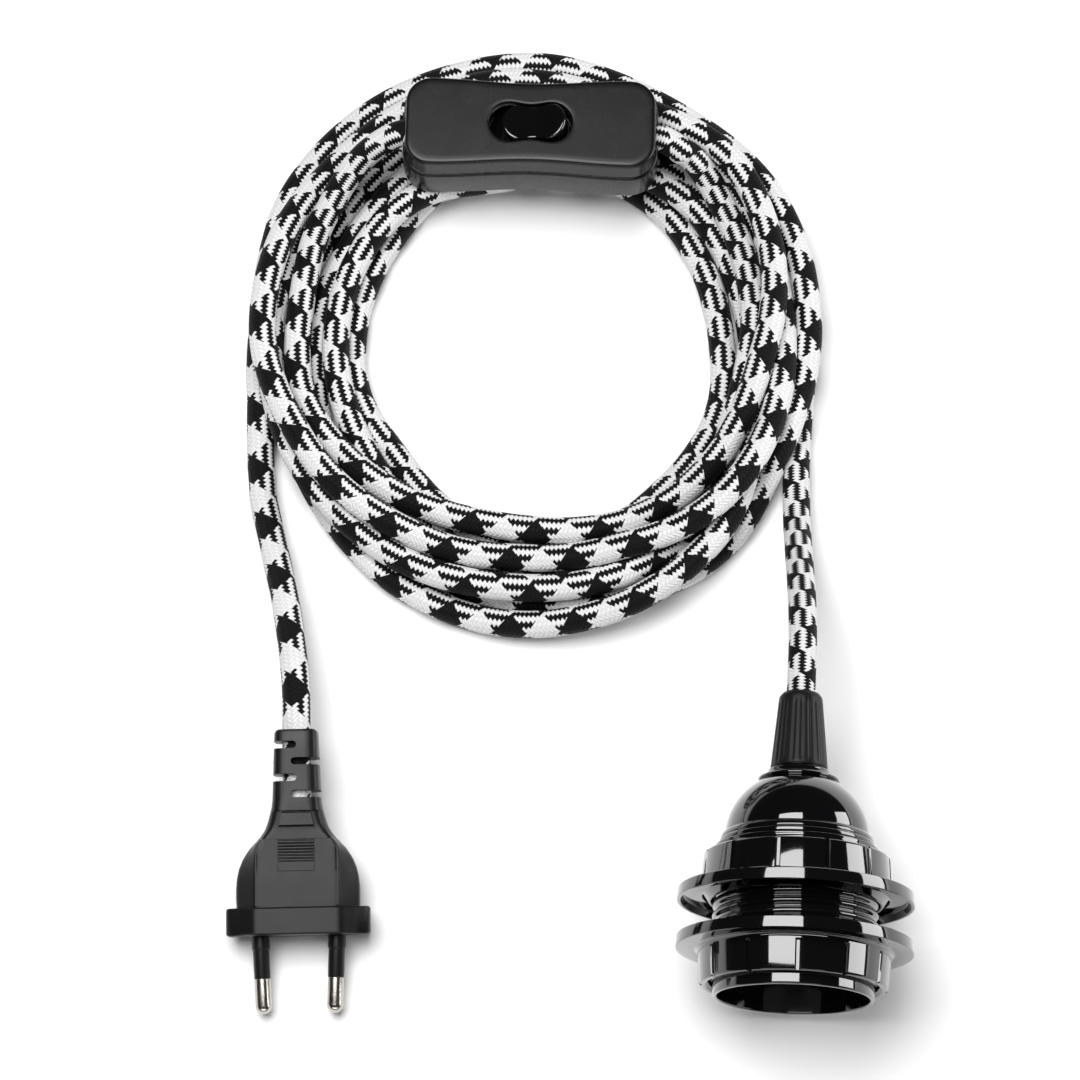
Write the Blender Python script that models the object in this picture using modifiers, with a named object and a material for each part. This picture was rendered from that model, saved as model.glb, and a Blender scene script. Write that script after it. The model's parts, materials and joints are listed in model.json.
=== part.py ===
# Pendant lamp cord set: E27 lamp holder with two shade rings, textile cord laid
# in a coil, inline rocker switch lying on the coil, and a flat two-pin plug.
# Metres, +Z up. The floor is z = 0. The lamp holder lies on its shade rings with
# its axis along Y, its mouth towards -Y, and the origin under its middle.

import math

import bmesh
import bpy
from mathutils import Matrix, Vector

MM = 0.001

# Facets and edge angles
TURN_STEPS = 48
SMALL_STEPS = 24
SCREW_STEPS = 16
PIN_STEPS = 20
CARRIER_STEPS = 32
CORNER_STEPS = 4
LOBE_STEPS = 6
SHOULDER_STEPS = 8
CORD_RESOLUTION = 4
WIRE_RESOLUTION = 2
SMOOTH_ANGLE = 35.0
CAP_SMOOTH_ANGLE = 28.0
CORNER_ANGLE = 60.0
SLOPE_ANGLE = 25.0

# Gaps between pieces
SEAT_GAP = 0.3 * MM
CORD_CLEARANCE = 0.3 * MM
THREAD_CLEARANCE = 0.35 * MM
SCREW_CLEARANCE = 0.3 * MM

# Cord
CORD_RADIUS = 3.5 * MM
WIRE_RADIUS = 0.9 * MM
WIRE_OFFSET = 1.26 * MM
WIRE_STEP = 1.8 * MM
CORD_BORE = CORD_RADIUS + CORD_CLEARANCE

# Coil of cord
COIL_CENTRE = Vector((-69.8 * MM, 134.0 * MM, 0.0))
COIL_OUTER = 76.5 * MM
COIL_INNER = 41.0 * MM
COIL_HEIGHT = 14.0 * MM
COIL_EDGE = 6.0 * MM

# Lamp holder, stations along its axis from the mouth
FLANGE_RADIUS = 28.5 * MM
HOLDER_AXIS_HEIGHT = FLANGE_RADIUS

SKIRT_LENGTH = 36.4 * MM
SKIRT_RADIUS = 19.9 * MM
SKIRT_WALL = 1.7 * MM
NOSE_LENGTH = 3.4 * MM
NOSE_RADIUS = 19.3 * MM
MOUTH_RADIUS = 18.2 * MM
MOUTH_DEPTH = 8.6 * MM
SLEEVE_BORE = 13.7 * MM
SLEEVE_WALL = 1.4 * MM
SLEEVE_TOP = SKIRT_LENGTH - 3.4 * MM
WEB_THICKNESS = 2.2 * MM

FLANGE_THICKNESS = 2.9 * MM
FLANGE_LIP = 0.9 * MM
FLANGE_DISH = 1.7 * MM
RING_HEIGHT = 11.6 * MM
COLLAR_TIP_RADIUS = 22.5 * MM
COLLAR_ROOT_RADIUS = 23.1 * MM
COLLAR_SECTORS = 12
GROOVE_WIDTH = 1.1 * MM
GROOVE_DEPTH = 0.7 * MM
RING_BORE = SKIRT_RADIUS + THREAD_CLEARANCE
UPPER_RING_STATION = 22.9 * MM
LOWER_RING_STATION = 14.2 * MM

CAP_BEAD_RADIUS = 18.9 * MM
CAP_BEAD_HEIGHT = 2.7 * MM
CAP_DOME_RADIUS = 17.5 * MM
CAP_NECK_RADIUS = 9.5 * MM
CAP_TOP_RADIUS = 7.6 * MM
CAP_NECK_STATION = SKIRT_LENGTH + 19.1 * MM
CAP_TOP_STATION = CAP_NECK_STATION + 2.1 * MM
CAP_WALL = 2.0 * MM
CAP_SPIGOT_LENGTH = 4.6 * MM
SPIGOT_CLEARANCE = 0.35 * MM

GRIP_LENGTH = 17.5 * MM
GRIP_BOTTOM = CAP_TOP_STATION + SEAT_GAP
HOLDER_LENGTH = GRIP_BOTTOM + GRIP_LENGTH
GRIP_BOTTOM_RADIUS = 6.7 * MM
GRIP_TOP_RADIUS = 5.05 * MM
GRIP_FLUTES = 12
FLUTE_WIDTH = 0.9 * MM
FLUTE_DEPTH = 0.45 * MM
COLLET_RADIUS = 5.0 * MM
COLLET_FLANGE_RADIUS = 7.2 * MM
COLLET_FLANGE_HEIGHT = 2.4 * MM
COLLET_FINGERS = 8.5 * MM
COLLET_SLOT = 0.8 * MM

CARRIER_HEIGHT = 7.0 * MM
RIVET_RADIUS = 1.2 * MM
CONTACT_OFFSET = 6.5 * MM
CONTACT_THICKNESS = 0.6 * MM
CONTACT_WIDTH = 5.0 * MM
CENTRE_CONTACT_KNEE = 2.5 * MM
CENTRE_CONTACT_DROP = 3.4 * MM
CENTRE_CONTACT_TIP = 2.7 * MM
SIDE_CONTACT_DROP = 5.6 * MM
BLOCK_WIDTH = 5.0 * MM
BLOCK_DEPTH = 7.0 * MM
BLOCK_HEIGHT = 6.0 * MM
WIRE_BEND_OFFSET = 1.5 * MM
WIRE_BEND_HEIGHT = 3.7 * MM
SCREW_RADIUS = 1.2 * MM
SCREW_HEAD_RADIUS = 2.2 * MM
SCREW_HEAD_HEIGHT = 1.3 * MM

# Switch, stations from its middle and heights from its underside
SWITCH_MIDDLE = Vector((-73.4 * MM, 186.6 * MM, COIL_HEIGHT + SEAT_GAP))
SWITCH_TURN = math.radians(1.6)
SWITCH_LENGTH = 66.0 * MM
SWITCH_WIDTH = 26.0 * MM
SWITCH_WAIST = 1.2 * MM
SWITCH_CORNER = 6.0 * MM
SWITCH_HEIGHT = 17.0 * MM
SWITCH_WALL = 2.0 * MM
BASE_HEIGHT = 6.0 * MM
COVER_INSET = 0.5 * MM
BASE_EDGE = 0.6 * MM
COVER_EDGE = 1.1 * MM
CORD_LEVEL = 8.5 * MM
SHEATH_IN_SWITCH = 11.0 * MM

ROCKER_LENGTH = 18.8 * MM
ROCKER_WIDTH = 11.4 * MM
ROCKER_WAIST = 1.3 * MM
ROCKER_END_GAP = 1.1 * MM
ROCKER_SIDE_GAP = 0.5 * MM
ROCKER_CREST = 3.6 * MM
ROCKER_VALLEY = 2.2 * MM
ROCKER_DIP = 0.45 * MM
LOBE_POWER = 3.2
WAIST_POWER = 4
ROCKER_KEEL = 2.6 * MM
ROCKER_TILT = math.radians(9.0)
PIVOT_LEVEL = 13.2 * MM
TRUNNION_RADIUS = 1.2 * MM
TRUNNION_LENGTH = 1.6 * MM
LUG_THICKNESS = 1.9 * MM
LUG_WIDTH = 5.0 * MM
LUG_BELOW_PIVOT = 2.6 * MM
CONTACT_LINE = -3.0 * MM
PLUNGER_RADIUS = 1.1 * MM
PLUNGER_REACH = 5.0 * MM
PLUNGER_LENGTH = 4.4 * MM
BRIDGE_LEVEL = 7.2 * MM
BRIDGE_LENGTH = 14.0 * MM
BRIDGE_WIDTH = 4.6 * MM
BRIDGE_THICKNESS = 0.8 * MM
BRIDGE_TILT = ROCKER_TILT / 3.0
STRIP_THICKNESS = 1.0 * MM
TERMINAL_INNER = 11.0 * MM
TERMINAL_OUTER = 16.0 * MM
TERMINAL_HEIGHT = 5.0 * MM
NEUTRAL_LINE = 4.2 * MM
NEUTRAL_WIDTH = 4.0 * MM
NEUTRAL_HEIGHT = 3.6 * MM
SMALL_SCREW = 1.0 * MM
SMALL_HEAD = 1.9 * MM
CLAMP_STATION = 26.0 * MM
CLAMP_SPREAD = 6.4 * MM
CLAMP_LENGTH = 4.4 * MM
CLAMP_THICKNESS = 1.1 * MM
POST_RADIUS = 2.2 * MM
CASE_SCREW_X = 20.5 * MM
CASE_SCREW_Y = 7.4 * MM
CASE_SCREW_SEAT = 1.4 * MM

# Plug, stations from the face that the pins leave, towards the cord
PLUG_FACE = Vector((-120.1 * MM, -23.4 * MM, 6.8 * MM))
PLUG_TURN = math.radians(4.0)
PLUG_PITCH = math.radians(10.0)
PLUG_WIDTH = 35.3 * MM
PLUG_THICKNESS = 13.7 * MM
PLUG_FLAT = 21.0 * MM
PLUG_FLANGE = 6.8 * MM
FLANGE_END_HALF = 2.7 * MM
FLANGE_EDGE = 0.7 * MM
GRIP_EDGE = 2.4 * MM
BODY_HALF_WIDTH = 15.1 * MM
BODY_THICKNESS = 12.4 * MM
SHOULDER_START = 11.5 * MM
NECK_STATION = 32.5 * MM
NECK_HALF_WIDTH = 5.9 * MM
NECK_THICKNESS = 10.8 * MM
RELIEF_LENGTH = 51.5 * MM
RELIEF_WIDTH = 10.2 * MM
SLOT_STATIONS = (35.2 * MM, 39.2 * MM, 43.2 * MM, 47.2 * MM)
SLOT_HEIGHT = 2.0 * MM
SLOT_DEPTH = 4.6 * MM
CORD_IN_PLUG = 20.0 * MM
PIN_PITCH = 18.8 * MM
PIN_TIP_PITCH = 17.3 * MM
PIN_LENGTH = 19.0 * MM
PIN_RADIUS = 2.0 * MM
PIN_CORE_RADIUS = 1.4 * MM
PIN_SLEEVE = 10.4 * MM
SLEEVE_RADIUS = 1.95 * MM
INSERT_WIDTH = 25.0 * MM
INSERT_THICKNESS = 7.0 * MM
INSERT_DEPTH = 5.6 * MM

# Free cord, centre points chosen along its route
HOLDER_TAIL_ROUTE = (
    (0.2, 52.0, 27.3),
    (0.0, 66.0, 21.4),
    (-0.5, 80.0, 12.6),
    (-0.95, 93.7, 6.2),
)
PLUG_TAIL_ROUTE = (
    (-124.8, 40.0, 16.0),
    (-128.6, 59.0, 11.4),
    (-133.0, 75.0, 6.6),
    (-137.8, 91.9, 4.0),
)
LEFT_ENTRY_ROUTE = ((-113.5, 182.6, 20.6), (-118.4, 178.4, 18.4))
RIGHT_ENTRY_ROUTE = ((-33.6, 184.6, 20.8), (-28.5, 180.8, 18.5))
ROUTE_STEP = 12.0 * MM


def remove_start_objects():
    for found in list(bpy.data.objects):
        bpy.data.objects.remove(found, do_unlink=True)


def new_collection(name):
    made = bpy.data.collections.new(name)
    bpy.context.scene.collection.children.link(made)
    return made


remove_start_objects()
PARTS = new_collection("pendant_cord_set")
CUTTERS = new_collection("cutters")


def new_material(name, colour, roughness, metallic=0.0):
    made = bpy.data.materials.new(name)
    made.use_nodes = True
    made.diffuse_color = (*colour, 1.0)
    shader = made.node_tree.nodes["Principled BSDF"]
    shader.inputs["Base Color"].default_value = (*colour, 1.0)
    shader.inputs["Roughness"].default_value = roughness
    shader.inputs["Metallic"].default_value = metallic
    return made


GLOSS_BLACK = new_material("gloss_black", (0.012, 0.012, 0.013), 0.12)
MATT_BLACK = new_material("matt_black", (0.025, 0.025, 0.027), 0.5)
SATIN_BLACK = new_material("satin_black", (0.03, 0.03, 0.032), 0.38)
RUBBER_BLACK = new_material("rubber_black", (0.03, 0.03, 0.033), 0.6)
BRASS = new_material("brass", (0.72, 0.52, 0.24), 0.3, 1.0)
NICKEL = new_material("nickel", (0.72, 0.68, 0.6), 0.25, 1.0)
STEEL = new_material("steel", (0.6, 0.6, 0.62), 0.3, 1.0)
CERAMIC = new_material("carrier_white", (0.78, 0.76, 0.7), 0.45)
TEXTILE = new_material("textile", (0.4, 0.4, 0.4), 0.85)
BROWN_WIRE = new_material("brown_wire", (0.2, 0.08, 0.03), 0.5)
BLUE_WIRE = new_material("blue_wire", (0.03, 0.12, 0.45), 0.5)


def new_frame(name, location, rotation):
    frame = bpy.data.objects.new(name, None)
    frame.location = location
    frame.rotation_euler = rotation
    PARTS.objects.link(frame)
    return frame


HOLDER = new_frame(
    "holder_frame",
    (0.0, -HOLDER_LENGTH / 2, HOLDER_AXIS_HEIGHT),
    (math.radians(-90.0), 0.0, 0.0),
)
SWITCH = new_frame("switch_frame", SWITCH_MIDDLE, (0.0, 0.0, SWITCH_TURN))
PLUG = new_frame("plug_frame", PLUG_FACE, (PLUG_PITCH, 0.0, PLUG_TURN))


def add_object(name, mesh, material=None, parent=None, location=(0.0, 0.0, 0.0)):
    made = bpy.data.objects.new(name, mesh)
    made.parent = parent
    made.location = location
    if material is None:
        CUTTERS.objects.link(made)
        made.hide_render = True
        made.display_type = "WIRE"
    else:
        PARTS.objects.link(made)
        mesh.materials.append(material)
    return made


def smooth(made, angle=SMOOTH_ANGLE):
    made.data.shade_smooth()
    made.data.set_sharp_from_angle(angle=math.radians(angle))


def turned(
    name, profile, material=None, parent=None, location=(0.0, 0.0, 0.0), steps=TURN_STEPS, closed=True
):
    """A profile of (radius, height) points, running down its outer side, turned round Z."""
    mesh = bpy.data.meshes.new(name)
    shape = bmesh.new()
    points = [shape.verts.new((radius, 0.0, height)) for radius, height in profile]
    for start, end in zip(points, points[1:]):
        shape.edges.new((start, end))
    if closed:
        shape.edges.new((points[-1], points[0]))
    shape.to_mesh(mesh)
    shape.free()
    made = add_object(name, mesh, material, parent, location)
    screw = made.modifiers.new("turn", "SCREW")
    screw.axis = "Z"
    screw.steps = steps
    screw.render_steps = steps
    screw.use_merge_vertices = True
    screw.merge_threshold = 0.00001
    screw.use_smooth_shade = False
    return made


def box(name, low, high, material=None, parent=None):
    low = Vector(low)
    high = Vector(high)
    mesh = bpy.data.meshes.new(name)
    shape = bmesh.new()
    bmesh.ops.create_cube(shape, size=1.0)
    bmesh.ops.scale(shape, vec=high - low, verts=shape.verts)
    shape.to_mesh(mesh)
    shape.free()
    return add_object(name, mesh, material, parent, (low + high) / 2)


def add_bevel(made, width, segments=2, angle=CORNER_ANGLE):
    bevel = made.modifiers.new("edges", "BEVEL")
    bevel.width = width
    bevel.segments = segments
    bevel.limit_method = "ANGLE"
    bevel.angle_limit = math.radians(angle)


def cylinder(name, start, end, radius, material=None, parent=None, sides=PIN_STEPS, end_radius=None):
    start = Vector(start)
    end = Vector(end)
    mesh = bpy.data.meshes.new(name)
    shape = bmesh.new()
    bmesh.ops.create_cone(
        shape,
        cap_ends=True,
        segments=sides,
        radius1=radius,
        radius2=radius if end_radius is None else end_radius,
        depth=(end - start).length,
    )
    shape.to_mesh(mesh)
    shape.free()
    made = add_object(name, mesh, material, parent, (start + end) / 2)
    made.rotation_mode = "QUATERNION"
    made.rotation_quaternion = (end - start).to_track_quat("Z", "Y")
    return made


def prism(name, outline, low, high, material=None, parent=None, plane="XY"):
    """A closed flat outline given thickness from low to high, across X-Y or X-Z."""
    curve = bpy.data.curves.new(name, "CURVE")
    curve.dimensions = "2D"
    curve.fill_mode = "BOTH"
    curve.extrude = (high - low) / 2
    spline = curve.splines.new("POLY")
    spline.points.add(len(outline) - 1)
    for point, (across, along) in zip(spline.points, outline):
        point.co = (across, along, 0.0, 1.0)
    spline.use_cyclic_u = True
    middle = (high + low) / 2
    made = bpy.data.objects.new(name, curve)
    if plane == "XY":
        made.location = (0.0, 0.0, middle)
    else:
        made.location = (0.0, middle, 0.0)
        made.rotation_euler = (math.radians(90.0), 0.0, 0.0)
    return curve_to_mesh(made, material, parent)


def curve_to_mesh(made, material, parent):
    name = made.name
    bpy.context.scene.collection.objects.link(made)
    bpy.context.view_layer.update()
    evaluated = made.evaluated_get(bpy.context.evaluated_depsgraph_get())
    mesh = bpy.data.meshes.new_from_object(evaluated)
    mesh.transform(made.matrix_world)
    bpy.data.objects.remove(made, do_unlink=True)
    shape = bmesh.new()
    shape.from_mesh(mesh)
    bmesh.ops.remove_doubles(shape, verts=shape.verts, dist=0.000001)
    bmesh.ops.recalc_face_normals(shape, faces=shape.faces)
    shape.to_mesh(mesh)
    shape.free()
    mesh.name = name
    mesh.materials.clear()
    return add_object(name, mesh, material, parent)


def boolean(target, other, operation):
    change = target.modifiers.new(operation.lower(), "BOOLEAN")
    change.operation = operation
    change.solver = "EXACT"
    change.object = other


def cut(target, *others):
    for other in others:
        boolean(target, other, "DIFFERENCE")


def join(target, *others):
    for other in others:
        boolean(target, other, "UNION")


def smooth_route(points, step=ROUTE_STEP):
    """Points along a Catmull-Rom curve through the chosen points."""
    ends = [points[0] * 2 - points[1]] + list(points) + [points[-1] * 2 - points[-2]]
    route = []
    for before, start, end, after in zip(ends, ends[1:], ends[2:], ends[3:]):
        count = max(1, round((end - start).length / step))
        for index in range(count):
            t = index / count
            route.append(0.5 * (
                2 * start
                + (end - before) * t
                + (2 * before - 5 * start + 4 * end - after) * t * t
                + (3 * start - before - 3 * end + after) * t ** 3
            ))
    route.append(points[-1])
    return route


def tube(name, points, radius, material, resolution=CORD_RESOLUTION, step=ROUTE_STEP):
    curve = bpy.data.curves.new(name, "CURVE")
    curve.dimensions = "3D"
    curve.bevel_depth = radius
    curve.bevel_resolution = resolution
    curve.use_fill_caps = True
    route = smooth_route([Vector(point) for point in points], step)
    spline = curve.splines.new("POLY")
    spline.points.add(len(route) - 1)
    for point, place in zip(spline.points, route):
        point.co = (*place, 1.0)
    made = bpy.data.objects.new(name, curve)
    return curve_to_mesh(made, material, None)


def in_frame(frame, point):
    """World place of a point given in a frame's own axes."""
    bpy.context.view_layer.update()
    return frame.matrix_world @ Vector(point)


def in_millimetres(points):
    return [Vector(point) * MM for point in points]


# Lamp holder

CARRIER_BOTTOM = SLEEVE_TOP + SEAT_GAP
CARRIER_TOP = CARRIER_BOTTOM + CARRIER_HEIGHT
SLEEVE_OUTER = SLEEVE_BORE + SLEEVE_WALL
SPIGOT_OUTER = SKIRT_RADIUS - SKIRT_WALL - SPIGOT_CLEARANCE
SPIGOT_INNER = SLEEVE_OUTER + SPIGOT_CLEARANCE
CARRIER_RADIUS = SPIGOT_INNER - SEAT_GAP
CAP_RIM = SKIRT_LENGTH + SEAT_GAP
BEAD_TOP = CAP_RIM + CAP_BEAD_HEIGHT
CEILING = CAP_NECK_STATION - CAP_WALL


def arc_points(radius, height, base, count, start_radius):
    """Quarter ellipse from its top, at start_radius, down to its base."""
    first = math.asin(min(1.0, start_radius / radius))
    points = []
    for index in range(count + 1):
        angle = first + (math.pi / 2 - first) * index / count
        points.append((radius * math.sin(angle), base + height * math.cos(angle)))
    return points


def build_skirt():
    web_top = MOUTH_DEPTH + WEB_THICKNESS
    inside = SKIRT_RADIUS - SKIRT_WALL
    profile = [
        (SKIRT_RADIUS, SKIRT_LENGTH),
        (SKIRT_RADIUS, NOSE_LENGTH + SKIRT_RADIUS - NOSE_RADIUS),
        (NOSE_RADIUS, NOSE_LENGTH),
        (NOSE_RADIUS, 0.0),
        (MOUTH_RADIUS, 0.0),
        (MOUTH_RADIUS, MOUTH_DEPTH),
        (SLEEVE_BORE, MOUTH_DEPTH),
        (SLEEVE_BORE, SLEEVE_TOP),
        (SLEEVE_OUTER, SLEEVE_TOP),
        (SLEEVE_OUTER, web_top),
        (inside, web_top),
        (inside, SKIRT_LENGTH),
    ]
    smooth(turned("holder_skirt", profile, GLOSS_BLACK, HOLDER))


def build_shade_ring(name, flange_station, flange_at_top):
    """A ring with its flange face at flange_station and its collar on one side."""
    side = -1.0 if flange_at_top else 1.0
    flange_end = FLANGE_THICKNESS
    profile = [
        (COLLAR_TIP_RADIUS, RING_HEIGHT),
        (COLLAR_ROOT_RADIUS, flange_end + GROOVE_DEPTH),
        (COLLAR_ROOT_RADIUS + GROOVE_DEPTH, flange_end),
        (FLANGE_RADIUS - FLANGE_LIP, flange_end),
        (FLANGE_RADIUS, flange_end - FLANGE_LIP),
        (FLANGE_RADIUS, 0.0),
        (FLANGE_RADIUS - FLANGE_LIP, 0.0),
        (FLANGE_RADIUS - FLANGE_LIP - FLANGE_DISH, FLANGE_DISH),
        (COLLAR_TIP_RADIUS, FLANGE_DISH),
        (COLLAR_TIP_RADIUS - FLANGE_DISH, 0.0),
        (RING_BORE, 0.0),
        (RING_BORE, RING_HEIGHT),
    ]
    if flange_at_top:
        profile = [(radius, -height) for radius, height in reversed(profile)]
    ring = turned(name, profile, GLOSS_BLACK, HOLDER, (0.0, 0.0, flange_station))
    grooves = groove_cutter(name + "_grooves", flange_station, side)
    cut(ring, grooves)
    smooth(ring)


def groove_cutter(name, flange_station, side):
    """Radial bars round the collar, one between each two sectors."""
    first = flange_station + side * (FLANGE_THICKNESS + GROOVE_DEPTH)
    last = flange_station + side * (RING_HEIGHT + GROOVE_WIDTH)
    shape = bmesh.new()
    for index in range(COLLAR_SECTORS):
        bar = bmesh.ops.create_cube(shape, size=1.0)["verts"]
        depth = COLLAR_ROOT_RADIUS - COLLAR_TIP_RADIUS + 2 * GROOVE_DEPTH
        bmesh.ops.scale(shape, vec=(depth, GROOVE_WIDTH, abs(last - first)), verts=bar)
        centre = (COLLAR_TIP_RADIUS - GROOVE_DEPTH + depth / 2, 0.0, (first + last) / 2)
        bmesh.ops.translate(shape, vec=centre, verts=bar)
        bmesh.ops.rotate(
            shape,
            cent=(0.0, 0.0, 0.0),
            matrix=rotation_about_z(2 * math.pi * (index + 0.5) / COLLAR_SECTORS),
            verts=bar,
        )
    mesh = bpy.data.meshes.new(name)
    shape.to_mesh(mesh)
    shape.free()
    return add_object(name, mesh, None, HOLDER)


def rotation_about_z(angle):
    return Matrix.Rotation(angle, 3, "Z")


def build_cap():
    dome_height = CAP_NECK_STATION - BEAD_TOP
    dome = arc_points(CAP_DOME_RADIUS, dome_height, BEAD_TOP, LOBE_STEPS + 1, CAP_NECK_RADIUS)
    inner_radius = CAP_DOME_RADIUS - CAP_WALL
    floor = CARRIER_TOP + SEAT_GAP
    inner = arc_points(inner_radius, CEILING - CARRIER_TOP, floor, CORNER_STEPS, COLLET_FLANGE_RADIUS)
    neck_base = dome[0][1]
    profile = [
        (CAP_TOP_RADIUS, CAP_TOP_STATION),
        (CAP_TOP_RADIUS, CAP_NECK_STATION + CAP_WALL / 4),
        (CAP_NECK_RADIUS, neck_base + CAP_WALL / 4),
    ]
    profile += dome
    profile += [
        (CAP_BEAD_RADIUS, BEAD_TOP - CAP_BEAD_HEIGHT / 4),
        (CAP_BEAD_RADIUS, CAP_RIM),
        (SPIGOT_OUTER, CAP_RIM),
        (SPIGOT_OUTER, CAP_RIM - CAP_SPIGOT_LENGTH),
        (SPIGOT_INNER, CAP_RIM - CAP_SPIGOT_LENGTH),
        (SPIGOT_INNER, floor),
    ]
    profile += [(min(radius, inner_radius), height) for radius, height in reversed(inner[:-1])]
    profile += [
        (COLLET_FLANGE_RADIUS, CEILING),
        (COLLET_RADIUS + THREAD_CLEARANCE, CEILING),
        (COLLET_RADIUS + THREAD_CLEARANCE, CAP_TOP_STATION),
    ]
    smooth(turned("holder_cap", profile, GLOSS_BLACK, HOLDER), CAP_SMOOTH_ANGLE)


def build_cord_grip():
    bore = COLLET_RADIUS + THREAD_CLEARANCE
    bore_top = GRIP_BOTTOM + COLLET_FINGERS + SEAT_GAP
    profile = [
        (GRIP_TOP_RADIUS, HOLDER_LENGTH),
        (GRIP_BOTTOM_RADIUS, GRIP_BOTTOM),
        (bore, GRIP_BOTTOM),
        (bore, bore_top),
        (CORD_BORE, bore_top + bore - CORD_BORE),
        (CORD_BORE, HOLDER_LENGTH),
    ]
    grip = turned("cord_grip", profile, MATT_BLACK, HOLDER, steps=SMALL_STEPS)
    lean = math.atan((GRIP_BOTTOM_RADIUS - GRIP_TOP_RADIUS) / GRIP_LENGTH)
    shape = bmesh.new()
    for index in range(GRIP_FLUTES):
        bar = bmesh.ops.create_cube(shape, size=1.0)["verts"]
        flute = (2 * FLUTE_DEPTH, FLUTE_WIDTH, GRIP_LENGTH - 4 * FLUTE_WIDTH)
        bmesh.ops.scale(shape, vec=flute, verts=bar)
        bmesh.ops.rotate(shape, cent=(0, 0, 0), matrix=Matrix.Rotation(-lean, 3, "Y"), verts=bar)
        reach = (GRIP_BOTTOM_RADIUS + GRIP_TOP_RADIUS) / 2
        bmesh.ops.translate(shape, vec=(reach, 0.0, GRIP_BOTTOM + GRIP_LENGTH / 2), verts=bar)
        turn = rotation_about_z(2 * math.pi * index / GRIP_FLUTES)
        bmesh.ops.rotate(shape, cent=(0.0, 0.0, 0.0), matrix=turn, verts=bar)
    mesh = bpy.data.meshes.new("grip_flutes")
    shape.to_mesh(mesh)
    shape.free()
    cut(grip, add_object("grip_flutes", mesh, None, HOLDER))
    smooth(grip)


def build_collet():
    top = GRIP_BOTTOM + COLLET_FINGERS
    flange_top = CEILING - SEAT_GAP
    profile = [
        (COLLET_RADIUS, top),
        (COLLET_RADIUS, flange_top),
        (COLLET_FLANGE_RADIUS - SEAT_GAP, flange_top),
        (COLLET_FLANGE_RADIUS - SEAT_GAP, flange_top - COLLET_FLANGE_HEIGHT),
        (CORD_BORE, flange_top - COLLET_FLANGE_HEIGHT),
        (CORD_BORE, top),
    ]
    collet = turned("grip_collet", profile, MATT_BLACK, HOLDER, steps=SMALL_STEPS)
    reach = COLLET_RADIUS + CORD_CLEARANCE
    start = GRIP_BOTTOM + COLLET_SLOT
    half = COLLET_SLOT / 2
    cut(
        collet,
        box("collet_slot_x", (-reach, -half, start), (reach, half, top + half), None, HOLDER),
        box("collet_slot_y", (-half, -reach, start), (half, reach, top + half), None, HOLDER),
    )
    smooth(collet)


def build_contact_carrier():
    profile = [
        (0.0, CARRIER_TOP),
        (CARRIER_RADIUS, CARRIER_TOP),
        (CARRIER_RADIUS, CARRIER_BOTTOM),
        (0.0, CARRIER_BOTTOM),
    ]
    carrier = turned("contact_carrier", profile, CERAMIC, HOLDER, steps=CARRIER_STEPS, closed=False)
    for side, name in ((-1, "centre"), (1, "side")):
        place = side * CONTACT_OFFSET
        cut(carrier, cylinder(
            name + "_rivet_hole",
            (place, 0.0, CARRIER_BOTTOM - CONTACT_THICKNESS),
            (place, 0.0, CARRIER_TOP + CONTACT_THICKNESS),
            RIVET_RADIUS + SEAT_GAP,
            None,
            HOLDER,
        ))
    smooth(carrier)


def strip_outline(path, thickness):
    """Outline of a strip of even thickness along a path in a plane."""
    left = []
    right = []
    for index, point in enumerate(path):
        before = Vector(path[max(index - 1, 0)])
        after = Vector(path[min(index + 1, len(path) - 1)])
        along = (after - before).normalized()
        across = Vector((-along.y, along.x)) * thickness / 2
        left.append(Vector(point) + across)
        right.append(Vector(point) - across)
    return [tuple(point) for point in left + right[::-1]]


def build_contact(name, path, rivet_place):
    outline = strip_outline(path, CONTACT_THICKNESS)
    half = CONTACT_WIDTH / 2
    contact = prism(name, outline, -half, half, BRASS, HOLDER, "XZ")
    join(contact, cylinder(
        name + "_rivet",
        (rivet_place, 0.0, path[0][1]),
        (rivet_place, 0.0, CARRIER_TOP),
        RIVET_RADIUS,
        None,
        HOLDER,
    ))
    smooth(contact)


def build_contacts():
    seat = CARRIER_BOTTOM - SEAT_GAP - CONTACT_THICKNESS / 2
    offset = CONTACT_OFFSET
    centre_path = [
        (-offset - RIVET_RADIUS, seat),
        (-offset + RIVET_RADIUS, seat),
        (-offset / 3, seat - CENTRE_CONTACT_KNEE),
        (0.0, seat - CENTRE_CONTACT_DROP),
        (offset / 3, seat - CENTRE_CONTACT_TIP),
    ]
    build_contact("centre_contact", centre_path, -offset)
    wall = SLEEVE_BORE - 2 * CONTACT_THICKNESS
    wall_at_edge = math.sqrt(wall ** 2 - (CONTACT_WIDTH / 2) ** 2)
    side_path = [
        (offset - RIVET_RADIUS, seat),
        (wall_at_edge - 2 * CONTACT_THICKNESS, seat),
        (wall_at_edge, seat - 2 * CONTACT_THICKNESS),
        (wall_at_edge - CONTACT_THICKNESS, seat - SIDE_CONTACT_DROP),
    ]
    build_contact("side_contact", side_path, offset)


def build_screw(name, place, tip, seat, radius, head_radius, head_height, parent):
    """A cheese-head screw standing at place, its head up."""
    profile = [
        (0.0, seat + head_height),
        (head_radius, seat + head_height),
        (head_radius, seat),
        (radius, seat),
        (radius, tip),
        (0.0, tip),
    ]
    smooth(turned(name, profile, STEEL, parent, (*place, 0.0), SCREW_STEPS, False))


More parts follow.
